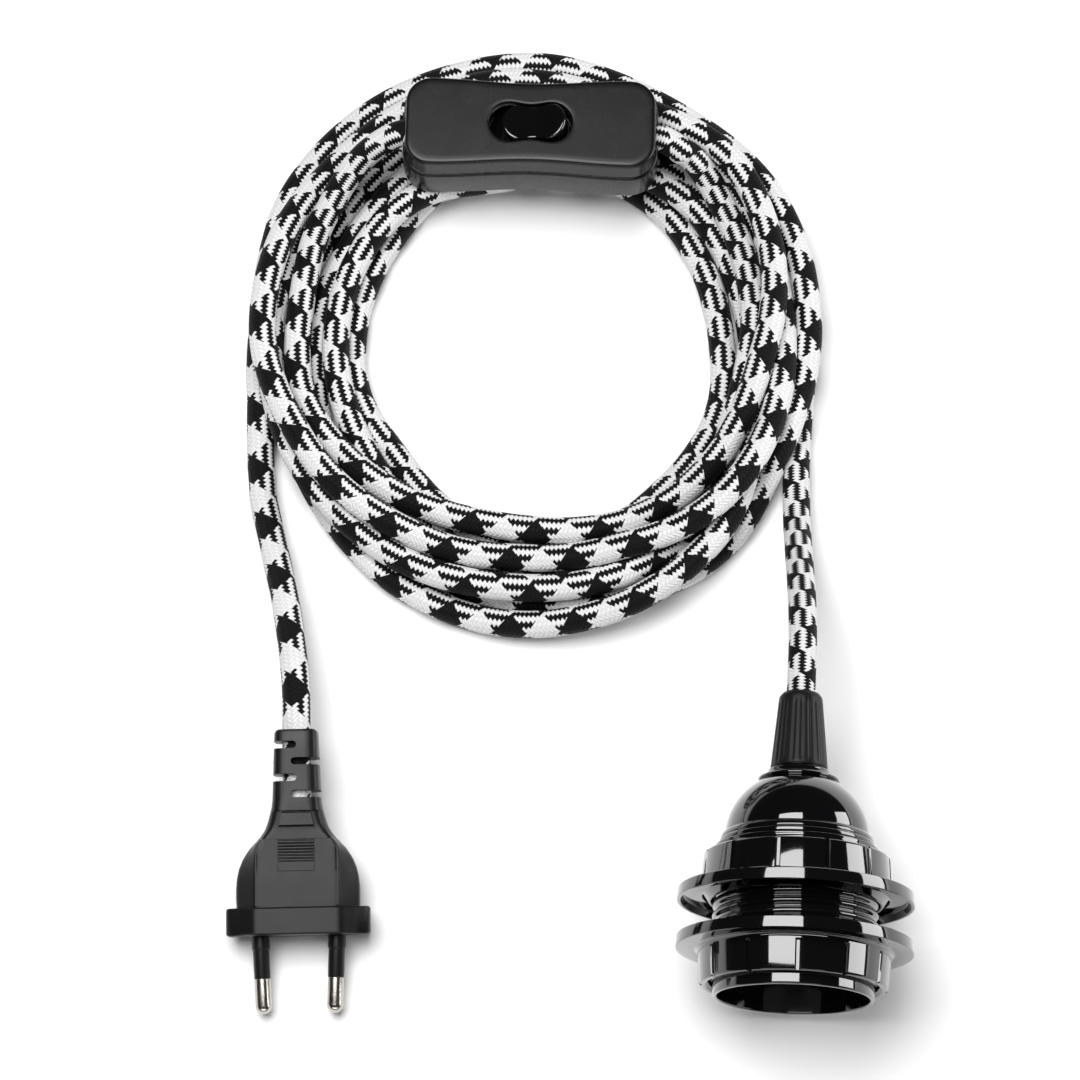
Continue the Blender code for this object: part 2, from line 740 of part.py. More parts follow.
def build_holder_terminals():
    low = CARRIER_TOP + SEAT_GAP
    high = low + BLOCK_HEIGHT
    for side, name in ((-1, "terminal_block_live"), (1, "terminal_block_neutral")):
        middle = side * CONTACT_OFFSET
        block = box(
            name,
            (middle - BLOCK_WIDTH / 2, -BLOCK_DEPTH / 2, low),
            (middle + BLOCK_WIDTH / 2, BLOCK_DEPTH / 2, high),
            BRASS,
            HOLDER,
        )
        cut(block, cylinder(
            name + "_hole",
            (middle, 0.0, low + CONTACT_THICKNESS),
            (middle, 0.0, high + CONTACT_THICKNESS),
            SCREW_RADIUS + SCREW_CLEARANCE,
            None,
            HOLDER,
        ))
        build_screw(
            name.replace("block", "screw"),
            (middle, 0.0),
            low + 2 * CONTACT_THICKNESS,
            high + SEAT_GAP,
            SCREW_RADIUS,
            SCREW_HEAD_RADIUS,
            SCREW_HEAD_HEIGHT,
            HOLDER,
        )
    sheath_end = CEILING - SEAT_GAP - COLLET_FLANGE_HEIGHT - SEAT_GAP
    for side, name, material in (
        (-1, "holder_wire_live", BROWN_WIRE),
        (1, "holder_wire_neutral", BLUE_WIRE),
    ):
        inner_face = side * (CONTACT_OFFSET - BLOCK_WIDTH / 2 - SEAT_GAP)
        lead = side * WIRE_OFFSET
        path = [
            in_frame(HOLDER, (lead, 0.0, sheath_end)),
            in_frame(HOLDER, (lead, 0.0, (sheath_end + high) / 2)),
            in_frame(HOLDER, (side * WIRE_BEND_OFFSET, 0.0, low + WIRE_BEND_HEIGHT)),
            in_frame(HOLDER, (inner_face, 0.0, low + BLOCK_HEIGHT / 2)),
        ]
        smooth(tube(name, path, WIRE_RADIUS, material, WIRE_RESOLUTION, WIRE_STEP))


def build_holder():
    build_skirt()
    build_shade_ring("shade_ring_upper", UPPER_RING_STATION, False)
    build_shade_ring("shade_ring_lower", LOWER_RING_STATION, True)
    build_cap()
    build_cord_grip()
    build_collet()
    build_contact_carrier()
    build_contacts()
    build_holder_terminals()


# Switch

def waisted_outline(length, width, corner, waist, steps=CORNER_STEPS):
    """A rounded rectangle whose long sides bow inwards by the waist."""
    straight = length / 2 - corner
    half_width = width / 2
    corner_height = half_width - corner
    points = []
    for index in range(steps * 2 + 1):
        x = straight * (1 - index / steps)
        bow = waist * math.cos(x / straight * math.pi / 2) ** 2
        points.append((x, half_width - bow))
    for index in range(1, steps + 1):
        angle = math.pi / 2 + math.pi / 2 * index / steps
        x = corner * math.cos(angle) - straight
        points.append((x, corner_height + corner * math.sin(angle)))
    mirrored = [(x, -y) for x, y in reversed(points)]
    left = points + mirrored
    right_top = []
    for index in range(steps):
        angle = math.pi / 2 * index / steps
        x = corner * math.cos(angle) + straight
        right_top.append((x, corner_height + corner * math.sin(angle)))
    right_bottom = [(x, -y) for x, y in reversed(right_top)]
    return left + right_bottom + right_top


def shell_inside(name, low, high, inset):
    outline = waisted_outline(
        SWITCH_LENGTH - 2 * inset, SWITCH_WIDTH - 2 * inset, SWITCH_CORNER - inset, SWITCH_WAIST
    )
    return prism(name, outline, low, high, None, SWITCH)


def cord_hole():
    reach = SWITCH_LENGTH / 2 + SWITCH_WALL
    return cylinder(
        "switch_cord_hole", (-reach, 0.0, CORD_LEVEL), (reach, 0.0, CORD_LEVEL), CORD_BORE, None, SWITCH
    )


def build_switch_base(hole):
    outline = waisted_outline(SWITCH_LENGTH, SWITCH_WIDTH, SWITCH_CORNER, SWITCH_WAIST)
    base = prism("switch_base", outline, 0.0, BASE_HEIGHT, SATIN_BLACK, SWITCH)
    add_bevel(base, BASE_EDGE, 1)
    cut(base, shell_inside("base_inside", SWITCH_WALL, BASE_HEIGHT + SWITCH_WALL, SWITCH_WALL))
    for side in (-1, 1):
        saddle = box(
            "cord_saddle",
            (side * CLAMP_STATION - CLAMP_LENGTH / 2, -CLAMP_SPREAD + POST_RADIUS, SWITCH_WALL / 2),
            (side * CLAMP_STATION + CLAMP_LENGTH / 2, CLAMP_SPREAD - POST_RADIUS, BASE_HEIGHT - SEAT_GAP),
            None,
            SWITCH,
        )
        join(base, saddle)
        for across in (-1, 1):
            place = (side * CLAMP_STATION, across * CLAMP_SPREAD)
            join(base, cylinder(
                "clamp_post",
                (*place, SWITCH_WALL / 2),
                (*place, BASE_HEIGHT - SEAT_GAP),
                POST_RADIUS,
                None,
                SWITCH,
            ))
            cut(base, cylinder(
                "clamp_post_hole",
                (*place, SWITCH_WALL),
                (*place, BASE_HEIGHT + SEAT_GAP),
                SMALL_SCREW + SCREW_CLEARANCE,
                None,
                SWITCH,
                SCREW_STEPS,
            ))
    for side in (-1, 1):
        place = (side * CASE_SCREW_X, -side * CASE_SCREW_Y)
        head = SMALL_HEAD + SCREW_CLEARANCE
        below = (*place, -SEAT_GAP)
        shank = SMALL_SCREW + SCREW_CLEARANCE
        cut(
            base,
            cylinder("case_screw_hole", below, (*place, BASE_HEIGHT), shank, None, SWITCH, SCREW_STEPS),
            cylinder("case_screw_seat", below, (*place, CASE_SCREW_SEAT), head, None, SWITCH),
        )
    cut(base, hole)
    smooth(base)


def rocker_outline(length, width, waist, steps=LOBE_STEPS):
    """A two-lobed plan shape: round lobes at the ends and a waist in the middle."""
    half = length / 2
    top = []
    for index in range(steps * 2 + 1):
        x = half * (1 - index / steps)
        across = math.sqrt(max(0.0, 1 - (abs(x) / half) ** LOBE_POWER))
        top.append((x, across * (width / 2 - waist * math.cos(x / half * math.pi / 2) ** WAIST_POWER)))
    bottom = [(x, -y) for x, y in reversed(top[1:-1])]
    return top + bottom


def build_switch_cover(hole):
    low = BASE_HEIGHT + SEAT_GAP
    outline = waisted_outline(
        SWITCH_LENGTH - 2 * COVER_INSET,
        SWITCH_WIDTH - 2 * COVER_INSET,
        SWITCH_CORNER - COVER_INSET,
        SWITCH_WAIST,
    )
    cover = prism("switch_cover", outline, low, SWITCH_HEIGHT, SATIN_BLACK, SWITCH)
    add_bevel(cover, COVER_EDGE)
    ceiling = SWITCH_HEIGHT - SWITCH_WALL - SEAT_GAP
    cut(cover, shell_inside("cover_inside", low - SWITCH_WALL, ceiling, COVER_INSET + SWITCH_WALL))
    opening = rocker_outline(
        ROCKER_LENGTH + 2 * ROCKER_END_GAP, ROCKER_WIDTH + 2 * ROCKER_SIDE_GAP, ROCKER_WAIST
    )
    above = SWITCH_HEIGHT + SWITCH_WALL
    cut(cover, prism("rocker_opening", opening, ceiling - SWITCH_WALL, above, None, SWITCH))
    inner = ROCKER_WIDTH / 2 + ROCKER_SIDE_GAP + SEAT_GAP
    for side in (-1, 1):
        edges = sorted((side * inner, side * (inner + LUG_THICKNESS)))
        join(cover, box(
            "pivot_lug",
            (-LUG_WIDTH / 2, edges[0], PIVOT_LEVEL - LUG_BELOW_PIVOT),
            (LUG_WIDTH / 2, edges[1], ceiling + SWITCH_WALL / 2),
            None,
            SWITCH,
        ))
        place = (side * CASE_SCREW_X, -side * CASE_SCREW_Y)
        join(cover, cylinder(
            "case_post", (*place, low), (*place, ceiling + SWITCH_WALL / 2), POST_RADIUS, None, SWITCH
        ))
        cut(cover, cylinder(
            "case_post_hole",
            (*place, low - SEAT_GAP),
            (*place, ceiling - SWITCH_WALL),
            SMALL_SCREW + SCREW_CLEARANCE,
            None,
            SWITCH,
            SCREW_STEPS,
        ))
    reach = inner + LUG_THICKNESS + SEAT_GAP
    cut(cover, cylinder(
        "pivot_bore",
        (0.0, -reach, PIVOT_LEVEL),
        (0.0, reach, PIVOT_LEVEL),
        TRUNNION_RADIUS + SEAT_GAP,
        None,
        SWITCH,
    ))
    cut(cover, hole)
    smooth(cover)


def build_rocker():
    pivot = new_frame("rocker_pivot", (0.0, 0.0, PIVOT_LEVEL), (0.0, -ROCKER_TILT, 0.0))
    pivot.parent = SWITCH
    half = ROCKER_LENGTH / 2
    side_view = [
        (-half, ROCKER_CREST),
        (-half / 2, ROCKER_CREST - ROCKER_DIP),
        (0.0, ROCKER_VALLEY),
        (half / 2, ROCKER_CREST - ROCKER_DIP),
        (half, ROCKER_CREST),
        (half, -ROCKER_KEEL / 2),
        (half / 2, -ROCKER_KEEL),
        (-half / 2, -ROCKER_KEEL),
        (-half, -ROCKER_KEEL / 2),
    ]
    rocker = prism("switch_rocker", side_view, -ROCKER_WIDTH, ROCKER_WIDTH, GLOSS_BLACK, pivot, "XZ")
    plan = rocker_outline(ROCKER_LENGTH, ROCKER_WIDTH, ROCKER_WAIST)
    plan_block = prism("rocker_plan", plan, -ROCKER_WIDTH, ROCKER_WIDTH, None, pivot)
    boolean(rocker, plan_block, "INTERSECT")
    reach = ROCKER_WIDTH / 2 + ROCKER_SIDE_GAP + SEAT_GAP + TRUNNION_LENGTH
    join(rocker, cylinder("trunnions", (0.0, -reach, 0.0), (0.0, reach, 0.0), TRUNNION_RADIUS, None, pivot))
    tip = -PLUNGER_REACH
    top = tip + PLUNGER_LENGTH
    cut(rocker, cylinder(
        "plunger_bore",
        (0.0, CONTACT_LINE, tip),
        (0.0, CONTACT_LINE, top + SEAT_GAP),
        PLUNGER_RADIUS + SEAT_GAP,
        None,
        pivot,
        SCREW_STEPS,
    ))
    smooth(rocker)
    start = (0.0, CONTACT_LINE, tip)
    end = (0.0, CONTACT_LINE, top)
    smooth(cylinder("switch_plunger", start, end, PLUNGER_RADIUS, NICKEL, pivot, SCREW_STEPS))


def build_moving_contact():
    pivot = new_frame("bridge_pivot", (0.0, 0.0, BRIDGE_LEVEL), (0.0, BRIDGE_TILT, 0.0))
    pivot.parent = SWITCH
    low = (-BRIDGE_LENGTH / 2, CONTACT_LINE - BRIDGE_WIDTH / 2, -BRIDGE_THICKNESS / 2)
    high = (BRIDGE_LENGTH / 2, CONTACT_LINE + BRIDGE_WIDTH / 2, BRIDGE_THICKNESS / 2)
    box("moving_contact", low, high, BRASS, pivot)


def build_switch_contacts():
    floor = SWITCH_WALL + SEAT_GAP
    half = BRIDGE_WIDTH / 2
    near = CONTACT_LINE - half
    far = CONTACT_LINE + half
    seat = BRIDGE_LEVEL - BRIDGE_THICKNESS / 2 - SEAT_GAP
    swing = BRIDGE_LENGTH / 2 * math.sin(BRIDGE_TILT)
    strip_top = floor + STRIP_THICKNESS
    strip_end = (STRIP_THICKNESS, far, strip_top)
    line = box("line_contact", (-TERMINAL_OUTER, near, floor), strip_end, BRASS, SWITCH)
    knife = box(
        "line_knife", (-STRIP_THICKNESS, near, floor), (STRIP_THICKNESS, far, seat), None, SWITCH
    )
    block_top = floor + TERMINAL_HEIGHT
    line_end = (-TERMINAL_INNER, far, block_top)
    line_block = box("line_block", (-TERMINAL_OUTER, near, floor), line_end, None, SWITCH)
    join(line, knife, line_block)
    anvil_inner = BRIDGE_LENGTH / 2 - 3 * STRIP_THICKNESS
    load_start = (anvil_inner, near, floor)
    load = box("load_contact", load_start, (TERMINAL_OUTER, far, strip_top), BRASS, SWITCH)
    anvil = box("load_anvil", load_start, (BRIDGE_LENGTH / 2, far, seat - swing), None, SWITCH)
    load_end = (TERMINAL_OUTER, far, block_top)
    load_block = box("load_block", (TERMINAL_INNER, near, floor), load_end, None, SWITCH)
    join(load, anvil, load_block)
    neutral = box(
        "neutral_link",
        (-TERMINAL_OUTER, NEUTRAL_LINE - NEUTRAL_WIDTH / 2, floor),
        (TERMINAL_OUTER, NEUTRAL_LINE + NEUTRAL_WIDTH / 2, floor + NEUTRAL_HEIGHT),
        BRASS,
        SWITCH,
    )
    middle = (TERMINAL_INNER + TERMINAL_OUTER) / 2
    tip = strip_top
    for name, target, side, across, top in (
        ("line_screw", line, -1, CONTACT_LINE, block_top),
        ("load_screw", load, 1, CONTACT_LINE, block_top),
        ("neutral_screw_in", neutral, -1, NEUTRAL_LINE, floor + NEUTRAL_HEIGHT),
        ("neutral_screw_out", neutral, 1, NEUTRAL_LINE, floor + NEUTRAL_HEIGHT),
    ):
        place = (side * middle, across)
        cut(target, cylinder(
            "terminal_hole",
            (*place, tip - SEAT_GAP),
            (*place, top + SEAT_GAP),
            SMALL_SCREW + SCREW_CLEARANCE,
            None,
            SWITCH,
            SCREW_STEPS,
        ))
        build_screw(name, place, tip, top + SEAT_GAP, SMALL_SCREW, SMALL_HEAD, SCREW_HEAD_HEIGHT, SWITCH)


def build_clamps():
    low = CORD_LEVEL + CORD_RADIUS + SEAT_GAP
    high = low + CLAMP_THICKNESS
    reach = CLAMP_SPREAD + POST_RADIUS
    for side, end in ((-1, "left"), (1, "right")):
        middle = side * CLAMP_STATION
        clamp = box(
            f"cord_clamp_{end}",
            (middle - CLAMP_LENGTH / 2, -reach, low),
            (middle + CLAMP_LENGTH / 2, reach, high),
            STEEL,
            SWITCH,
        )
        for across in (-1, 1):
            place = (middle, across * CLAMP_SPREAD)
            cut(clamp, cylinder(
                "clamp_hole",
                (*place, low - SEAT_GAP),
                (*place, high + SEAT_GAP),
                SMALL_SCREW + SCREW_CLEARANCE,
                None,
                SWITCH,
                SCREW_STEPS,
            ))
            build_screw(
                f"clamp_screw_{end}_{'front' if across < 0 else 'back'}",
                place,
                SWITCH_WALL + SEAT_GAP,
                high + SEAT_GAP,
                SMALL_SCREW,
                SMALL_HEAD,
                SCREW_HEAD_HEIGHT / 2,
                SWITCH,
            )


def build_case_screws():
    """Two screws put in from below, their heads sunk in the base."""
    seat = CASE_SCREW_SEAT - SEAT_GAP
    tip = SWITCH_HEIGHT - 3 * SWITCH_WALL
    for side, end in ((-1, "left"), (1, "right")):
        place = (side * CASE_SCREW_X, -side * CASE_SCREW_Y, 0.0)
        profile = [
            (0.0, tip),
            (SMALL_SCREW, tip),
            (SMALL_SCREW, seat),
            (SMALL_HEAD, seat),
            (SMALL_HEAD, SEAT_GAP),
            (0.0, SEAT_GAP),
        ]
        smooth(turned(f"case_screw_{end}", profile, STEEL, SWITCH, place, SCREW_STEPS, False))


def build_switch_wires():
    sheath_end = SWITCH_LENGTH / 2 - SHEATH_IN_SWITCH - SEAT_GAP
    face = TERMINAL_OUTER + SEAT_GAP
    floor = SWITCH_WALL + SEAT_GAP
    lines = (
        ("live", CONTACT_LINE, floor + TERMINAL_HEIGHT / 2, BROWN_WIRE),
        ("neutral", NEUTRAL_LINE, floor + NEUTRAL_HEIGHT / 2, BLUE_WIRE),
    )
    for side, end in ((-1, "in"), (1, "out")):
        for kind, across, level, material in lines:
            start_across = math.copysign(WIRE_OFFSET, across)
            path = [
                in_frame(SWITCH, (side * sheath_end, start_across, CORD_LEVEL)),
                in_frame(SWITCH, (side * (sheath_end - WIRE_RADIUS), start_across, CORD_LEVEL)),
                in_frame(SWITCH, (
                    side * (sheath_end + face) / 2,
                    (start_across + across) / 2,
                    (CORD_LEVEL + level) / 2,
                )),
                in_frame(SWITCH, (side * (face + WIRE_RADIUS), across, level)),
                in_frame(SWITCH, (side * face, across, level)),
            ]
            smooth(tube(f"switch_wire_{kind}_{end}", path, WIRE_RADIUS, material, WIRE_RESOLUTION, WIRE_STEP))


def build_switch():
    hole = cord_hole()
    build_switch_base(hole)
    build_switch_cover(hole)
    build_rocker()
    build_moving_contact()
    build_switch_contacts()
    build_clamps()
    build_case_screws()
    build_switch_wires()


# Plug

def hexagon_face(half_width, half_flat, half_thickness, waist):
    """The plug's flange seen along the pins: flat faces and sloping ends."""
    return [
        (half_width, waist),
        (half_flat, half_thickness),
        (-half_flat, half_thickness),
        (-half_width, waist),
        (-half_width, -waist),
        (-half_flat, -half_thickness),
        (half_flat, -half_thickness),
        (half_width, -waist),
    ]


def body_half_width(station):
    """Half width of the grip body: straight, then round shoulders to the neck."""
    if station <= SHOULDER_START:
        return BODY_HALF_WIDTH
    t = (station - SHOULDER_START) / (NECK_STATION - SHOULDER_START)
    round_part = math.sqrt(max(0.0, 1 - t * t))
    eased_part = (1 + math.cos(math.pi * t)) / 2
    return NECK_HALF_WIDTH + (BODY_HALF_WIDTH - NECK_HALF_WIDTH) * (round_part + eased_part) / 2


def build_plug_body():
    flange = hexagon_face(PLUG_WIDTH / 2, PLUG_FLAT / 2, PLUG_THICKNESS / 2, FLANGE_END_HALF)
    body = prism("plug_body", flange, 0.0, PLUG_FLANGE, RUBBER_BLACK, PLUG, "XZ")
    add_bevel(body, FLANGE_EDGE, 1, SLOPE_ANGLE)
    stations = [PLUG_FLANGE - SEAT_GAP]
    for index in range(SHOULDER_STEPS + 1):
        stations.append(SHOULDER_START + (NECK_STATION - SHOULDER_START) * index / SHOULDER_STEPS)
    stations.append(NECK_STATION + SLOT_HEIGHT)
    right = [(body_half_width(min(place, NECK_STATION)), place) for place in stations]
    left = [(-half, place) for half, place in reversed(right)]
    grip = prism("plug_grip", right + left, -BODY_THICKNESS / 2, BODY_THICKNESS / 2, None, PLUG)
    add_bevel(grip, GRIP_EDGE)
    relief = cylinder(
        "plug_relief",
        (0.0, NECK_STATION - SLOT_HEIGHT, 0.0),
        (0.0, RELIEF_LENGTH, 0.0),
        NECK_THICKNESS / 2,
        None,
        PLUG,
        end_radius=RELIEF_WIDTH / 2,
    )
    join(body, grip, relief)
    cut(body, cylinder(
        "plug_cord_bore",
        (0.0, RELIEF_LENGTH - CORD_IN_PLUG - SEAT_GAP, 0.0),
        (0.0, RELIEF_LENGTH + SLOT_HEIGHT, 0.0),
        CORD_BORE,
        None,
        PLUG,
    ))
    reach = NECK_THICKNESS
    for index, station in enumerate(SLOT_STATIONS):
        side = 1 if index % 2 == 0 else -1
        outer = side * reach
        inner = side * (RELIEF_WIDTH / 2 - SLOT_DEPTH)
        cut(body, box(
            "relief_slot",
            (min(inner, outer), station, -reach),
            (max(inner, outer), station + SLOT_HEIGHT, reach),
            None,
            PLUG,
        ))
    gap = SEAT_GAP
    cut(body, box(
        "insert_pocket",
        (-INSERT_WIDTH / 2 - gap, -gap, -INSERT_THICKNESS / 2 - gap),
        (INSERT_WIDTH / 2 + gap, INSERT_DEPTH + gap, INSERT_THICKNESS / 2 + gap),
        None,
        PLUG,
    ))
    smooth(body, SLOPE_ANGLE)


def pin_line(side, station):
    """Place on a pin's axis at a station: the pins lean together to their tips."""
    share = -station / PIN_LENGTH
    half = (PIN_PITCH + (PIN_TIP_PITCH - PIN_PITCH) * share) / 2
    return (side * half, station, 0.0)


def build_plug_pins():
    insert = box(
        "plug_pin_carrier",
        (-INSERT_WIDTH / 2, 0.0, -INSERT_THICKNESS / 2),
        (INSERT_WIDTH / 2, INSERT_DEPTH, INSERT_THICKNESS / 2),
        RUBBER_BLACK,
        PLUG,
    )
    core_start = INSERT_DEPTH - PIN_RADIUS
    for side in (-1, 1):
        sleeve_root = pin_line(side, SEAT_GAP)
        join(insert, cylinder(
            "pin_sleeve", sleeve_root, pin_line(side, -PIN_SLEEVE), SLEEVE_RADIUS, None, PLUG
        ))
    for side in (-1, 1):
        cut(insert, cylinder(
            "pin_channel",
            pin_line(side, core_start + SEAT_GAP),
            pin_line(side, -PIN_SLEEVE - SEAT_GAP),
            PIN_CORE_RADIUS + SEAT_GAP / 2,
            None,
            PLUG,
        ))
    smooth(insert)
    for side, name in ((-1, "plug_pin_left"), (1, "plug_pin_right")):
        head = PIN_LENGTH - PIN_SLEEVE - SEAT_GAP
        core = core_start + PIN_SLEEVE + SEAT_GAP
        profile = [(0.0, core), (PIN_CORE_RADIUS, core), (PIN_CORE_RADIUS, 0.0), (PIN_RADIUS, 0.0)]
        round_steps = 3
        for index in range(round_steps + 1):
            angle = math.pi / 2 * index / round_steps
            profile.append((PIN_RADIUS * math.cos(angle), -head + PIN_RADIUS * (1 - math.sin(angle))))
        pin = turned(name, profile, NICKEL, PLUG, pin_line(side, -PIN_SLEEVE - SEAT_GAP), PIN_STEPS, False)
        direction = Vector(pin_line(side, 0.0)) - Vector(pin_line(side, -PIN_LENGTH))
        pin.rotation_mode = "QUATERNION"
        pin.rotation_quaternion = direction.to_track_quat("Z", "Y")
        smooth(pin)


def build_plug():
    build_plug_body()
    build_plug_pins()


# Cord

def build_coil():
    middle = (COIL_OUTER + COIL_INNER) / 2
    half = (COIL_OUTER - COIL_INNER) / 2
    steps = 2
    profile = []
    for sign_radius, sign_height in ((1, 1), (1, -1), (-1, -1), (-1, 1)):
        for index in range(steps + 1):
            turn = index if sign_radius * sign_height > 0 else steps - index
            angle = math.pi / 2 * turn / steps
            across = half - COIL_EDGE + COIL_EDGE * math.sin(angle)
            rise = COIL_HEIGHT / 2 - COIL_EDGE + COIL_EDGE * math.cos(angle)
            profile.append((middle + sign_radius * across, COIL_HEIGHT / 2 + sign_height * rise))
    smooth(turned("cord_coil", profile, TEXTILE, None, COIL_CENTRE))


def build_free_cords():
    sheath_end = CEILING - SEAT_GAP - COLLET_FLANGE_HEIGHT
    holder_end = [
        in_frame(HOLDER, (0.0, 0.0, sheath_end)),
        in_frame(HOLDER, (0.0, 0.0, (sheath_end + HOLDER_LENGTH) / 2)),
        in_frame(HOLDER, (0.0, 0.0, HOLDER_LENGTH)),
    ]
    smooth(tube("cord_to_holder", holder_end + in_millimetres(HOLDER_TAIL_ROUTE), CORD_RADIUS, TEXTILE))
    plug_end = [
        in_frame(PLUG, (0.0, RELIEF_LENGTH - CORD_IN_PLUG, 0.0)),
        in_frame(PLUG, (0.0, RELIEF_LENGTH - CORD_IN_PLUG / 2, 0.0)),
        in_frame(PLUG, (0.0, RELIEF_LENGTH, 0.0)),
    ]
    smooth(tube("cord_to_plug", plug_end + in_millimetres(PLUG_TAIL_ROUTE), CORD_RADIUS, TEXTILE))
    for side, name, route in (
        (-1, "cord_switch_left", LEFT_ENTRY_ROUTE),
        (1, "cord_switch_right", RIGHT_ENTRY_ROUTE),
    ):
        inside = side * (SWITCH_LENGTH / 2 - SHEATH_IN_SWITCH)
        entry = [
            in_frame(SWITCH, (inside, 0.0, CORD_LEVEL)),
            in_frame(SWITCH, (side * SWITCH_LENGTH / 2, 0.0, CORD_LEVEL)),
        ]
        smooth(tube(name, entry + in_millimetres(route), CORD_RADIUS, TEXTILE, step=ROUTE_STEP / 2))


build_holder()
build_switch()
build_plug()
build_coil()
build_free_cords()
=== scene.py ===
# Looks of the pendant lamp cord set: camera, cords, holder, switch, plug, light.
# Metres, +Z up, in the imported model's frame.

import json
import math

import bmesh
import bpy
import numpy as np
from mathutils import Matrix, Vector


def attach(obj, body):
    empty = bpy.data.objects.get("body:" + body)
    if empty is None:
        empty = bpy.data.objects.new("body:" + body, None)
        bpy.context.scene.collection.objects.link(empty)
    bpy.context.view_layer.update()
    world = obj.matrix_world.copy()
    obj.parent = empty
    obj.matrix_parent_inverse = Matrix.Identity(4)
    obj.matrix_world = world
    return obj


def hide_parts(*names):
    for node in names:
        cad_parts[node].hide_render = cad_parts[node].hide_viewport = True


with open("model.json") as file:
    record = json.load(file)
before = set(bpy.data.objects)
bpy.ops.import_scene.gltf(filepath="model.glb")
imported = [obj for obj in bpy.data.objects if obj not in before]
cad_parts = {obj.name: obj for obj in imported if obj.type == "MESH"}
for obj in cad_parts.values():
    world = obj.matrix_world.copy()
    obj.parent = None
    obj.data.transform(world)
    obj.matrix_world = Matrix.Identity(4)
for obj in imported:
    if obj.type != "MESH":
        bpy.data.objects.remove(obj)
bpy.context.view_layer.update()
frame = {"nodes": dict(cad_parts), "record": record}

MM = 0.001


def add_object(name, data):
    made = bpy.data.objects.new(name, data)
    bpy.context.scene.collection.objects.link(made)
    return made


# Camera

CAMERA_ELEVATION = math.radians(71.6)
CAMERA_AZIMUTH = math.radians(2.75)
CAMERA_DISTANCE = 0.9
CAMERA_TARGET = Vector((-0.06604, 0.08379, 0.0))
CAMERA_FOCAL_PX = 3510.0
FRAME_PX = 1080.0
SENSOR = 36.0

camera_data = bpy.data.cameras.new("camera")
camera_data.sensor_fit = "HORIZONTAL"
camera_data.sensor_width = SENSOR
camera_data.lens = SENSOR * CAMERA_FOCAL_PX / FRAME_PX
camera_data.clip_start = 0.05
camera_data.clip_end = 20.0
CAMERA_BACK = Vector((
    math.sin(CAMERA_AZIMUTH) * math.cos(CAMERA_ELEVATION),
    -math.cos(CAMERA_AZIMUTH) * math.cos(CAMERA_ELEVATION),
    math.sin(CAMERA_ELEVATION),
))
camera = add_object("camera", camera_data)
camera.location = CAMERA_TARGET + CAMERA_BACK * CAMERA_DISTANCE
camera.rotation_euler = CAMERA_BACK.to_track_quat("Z", "Y").to_euler()
bpy.context.scene.camera = camera

# Places that repeat the CAD source, in millimetres

CORD_RADIUS = 3.5
COIL_CENTRE = np.array([-69.8, 134.0])
HOLDER_LENGTH = 75.4
HOLDER_AXIS_HEIGHT = 28.5
SWITCH_MIDDLE = np.array([-73.4, 186.6, 14.3])
SWITCH_TURN = math.radians(1.6)
CORD_LEVEL = 8.5
SWITCH_LENGTH = 66.0
SHEATH_IN_SWITCH = 11.0
CORD_IN_HOLDER = (17.5, 0.3, 2.1, 2.0, 0.3, 2.4)
PLUG_FACE = np.array([-120.1, -23.4, 6.8])
PLUG_TURN = math.radians(4.0)
PLUG_PITCH = math.radians(10.0)
RELIEF_LENGTH = 51.5
CORD_IN_PLUG = 20.0

HOLDER_TAIL_ROUTE = [
    (0.2, 52.0, 27.3),
    (0.0, 66.0, 21.4),
    (-0.5, 80.0, 12.6),
    (-0.95, 93.7, 6.2),
]
PLUG_TAIL_ROUTE = [
    (-124.8, 40.0, 16.0),
    (-128.6, 59.0, 11.4),
    (-133.0, 75.0, 6.6),
    (-137.8, 91.9, 4.0),
]
LEFT_ENTRY_ROUTE = [(-113.5, 182.6, 20.6), (-118.4, 178.4, 18.4)]
RIGHT_ENTRY_ROUTE = [(-33.6, 184.6, 20.8), (-28.5, 180.8, 18.5)]

# Cord

# Each point of a turn is its angle from the far side, clockwise, the radius on the floor where
# the camera sees the strand, and the height it starts from.  Where it is hidden it is held less.

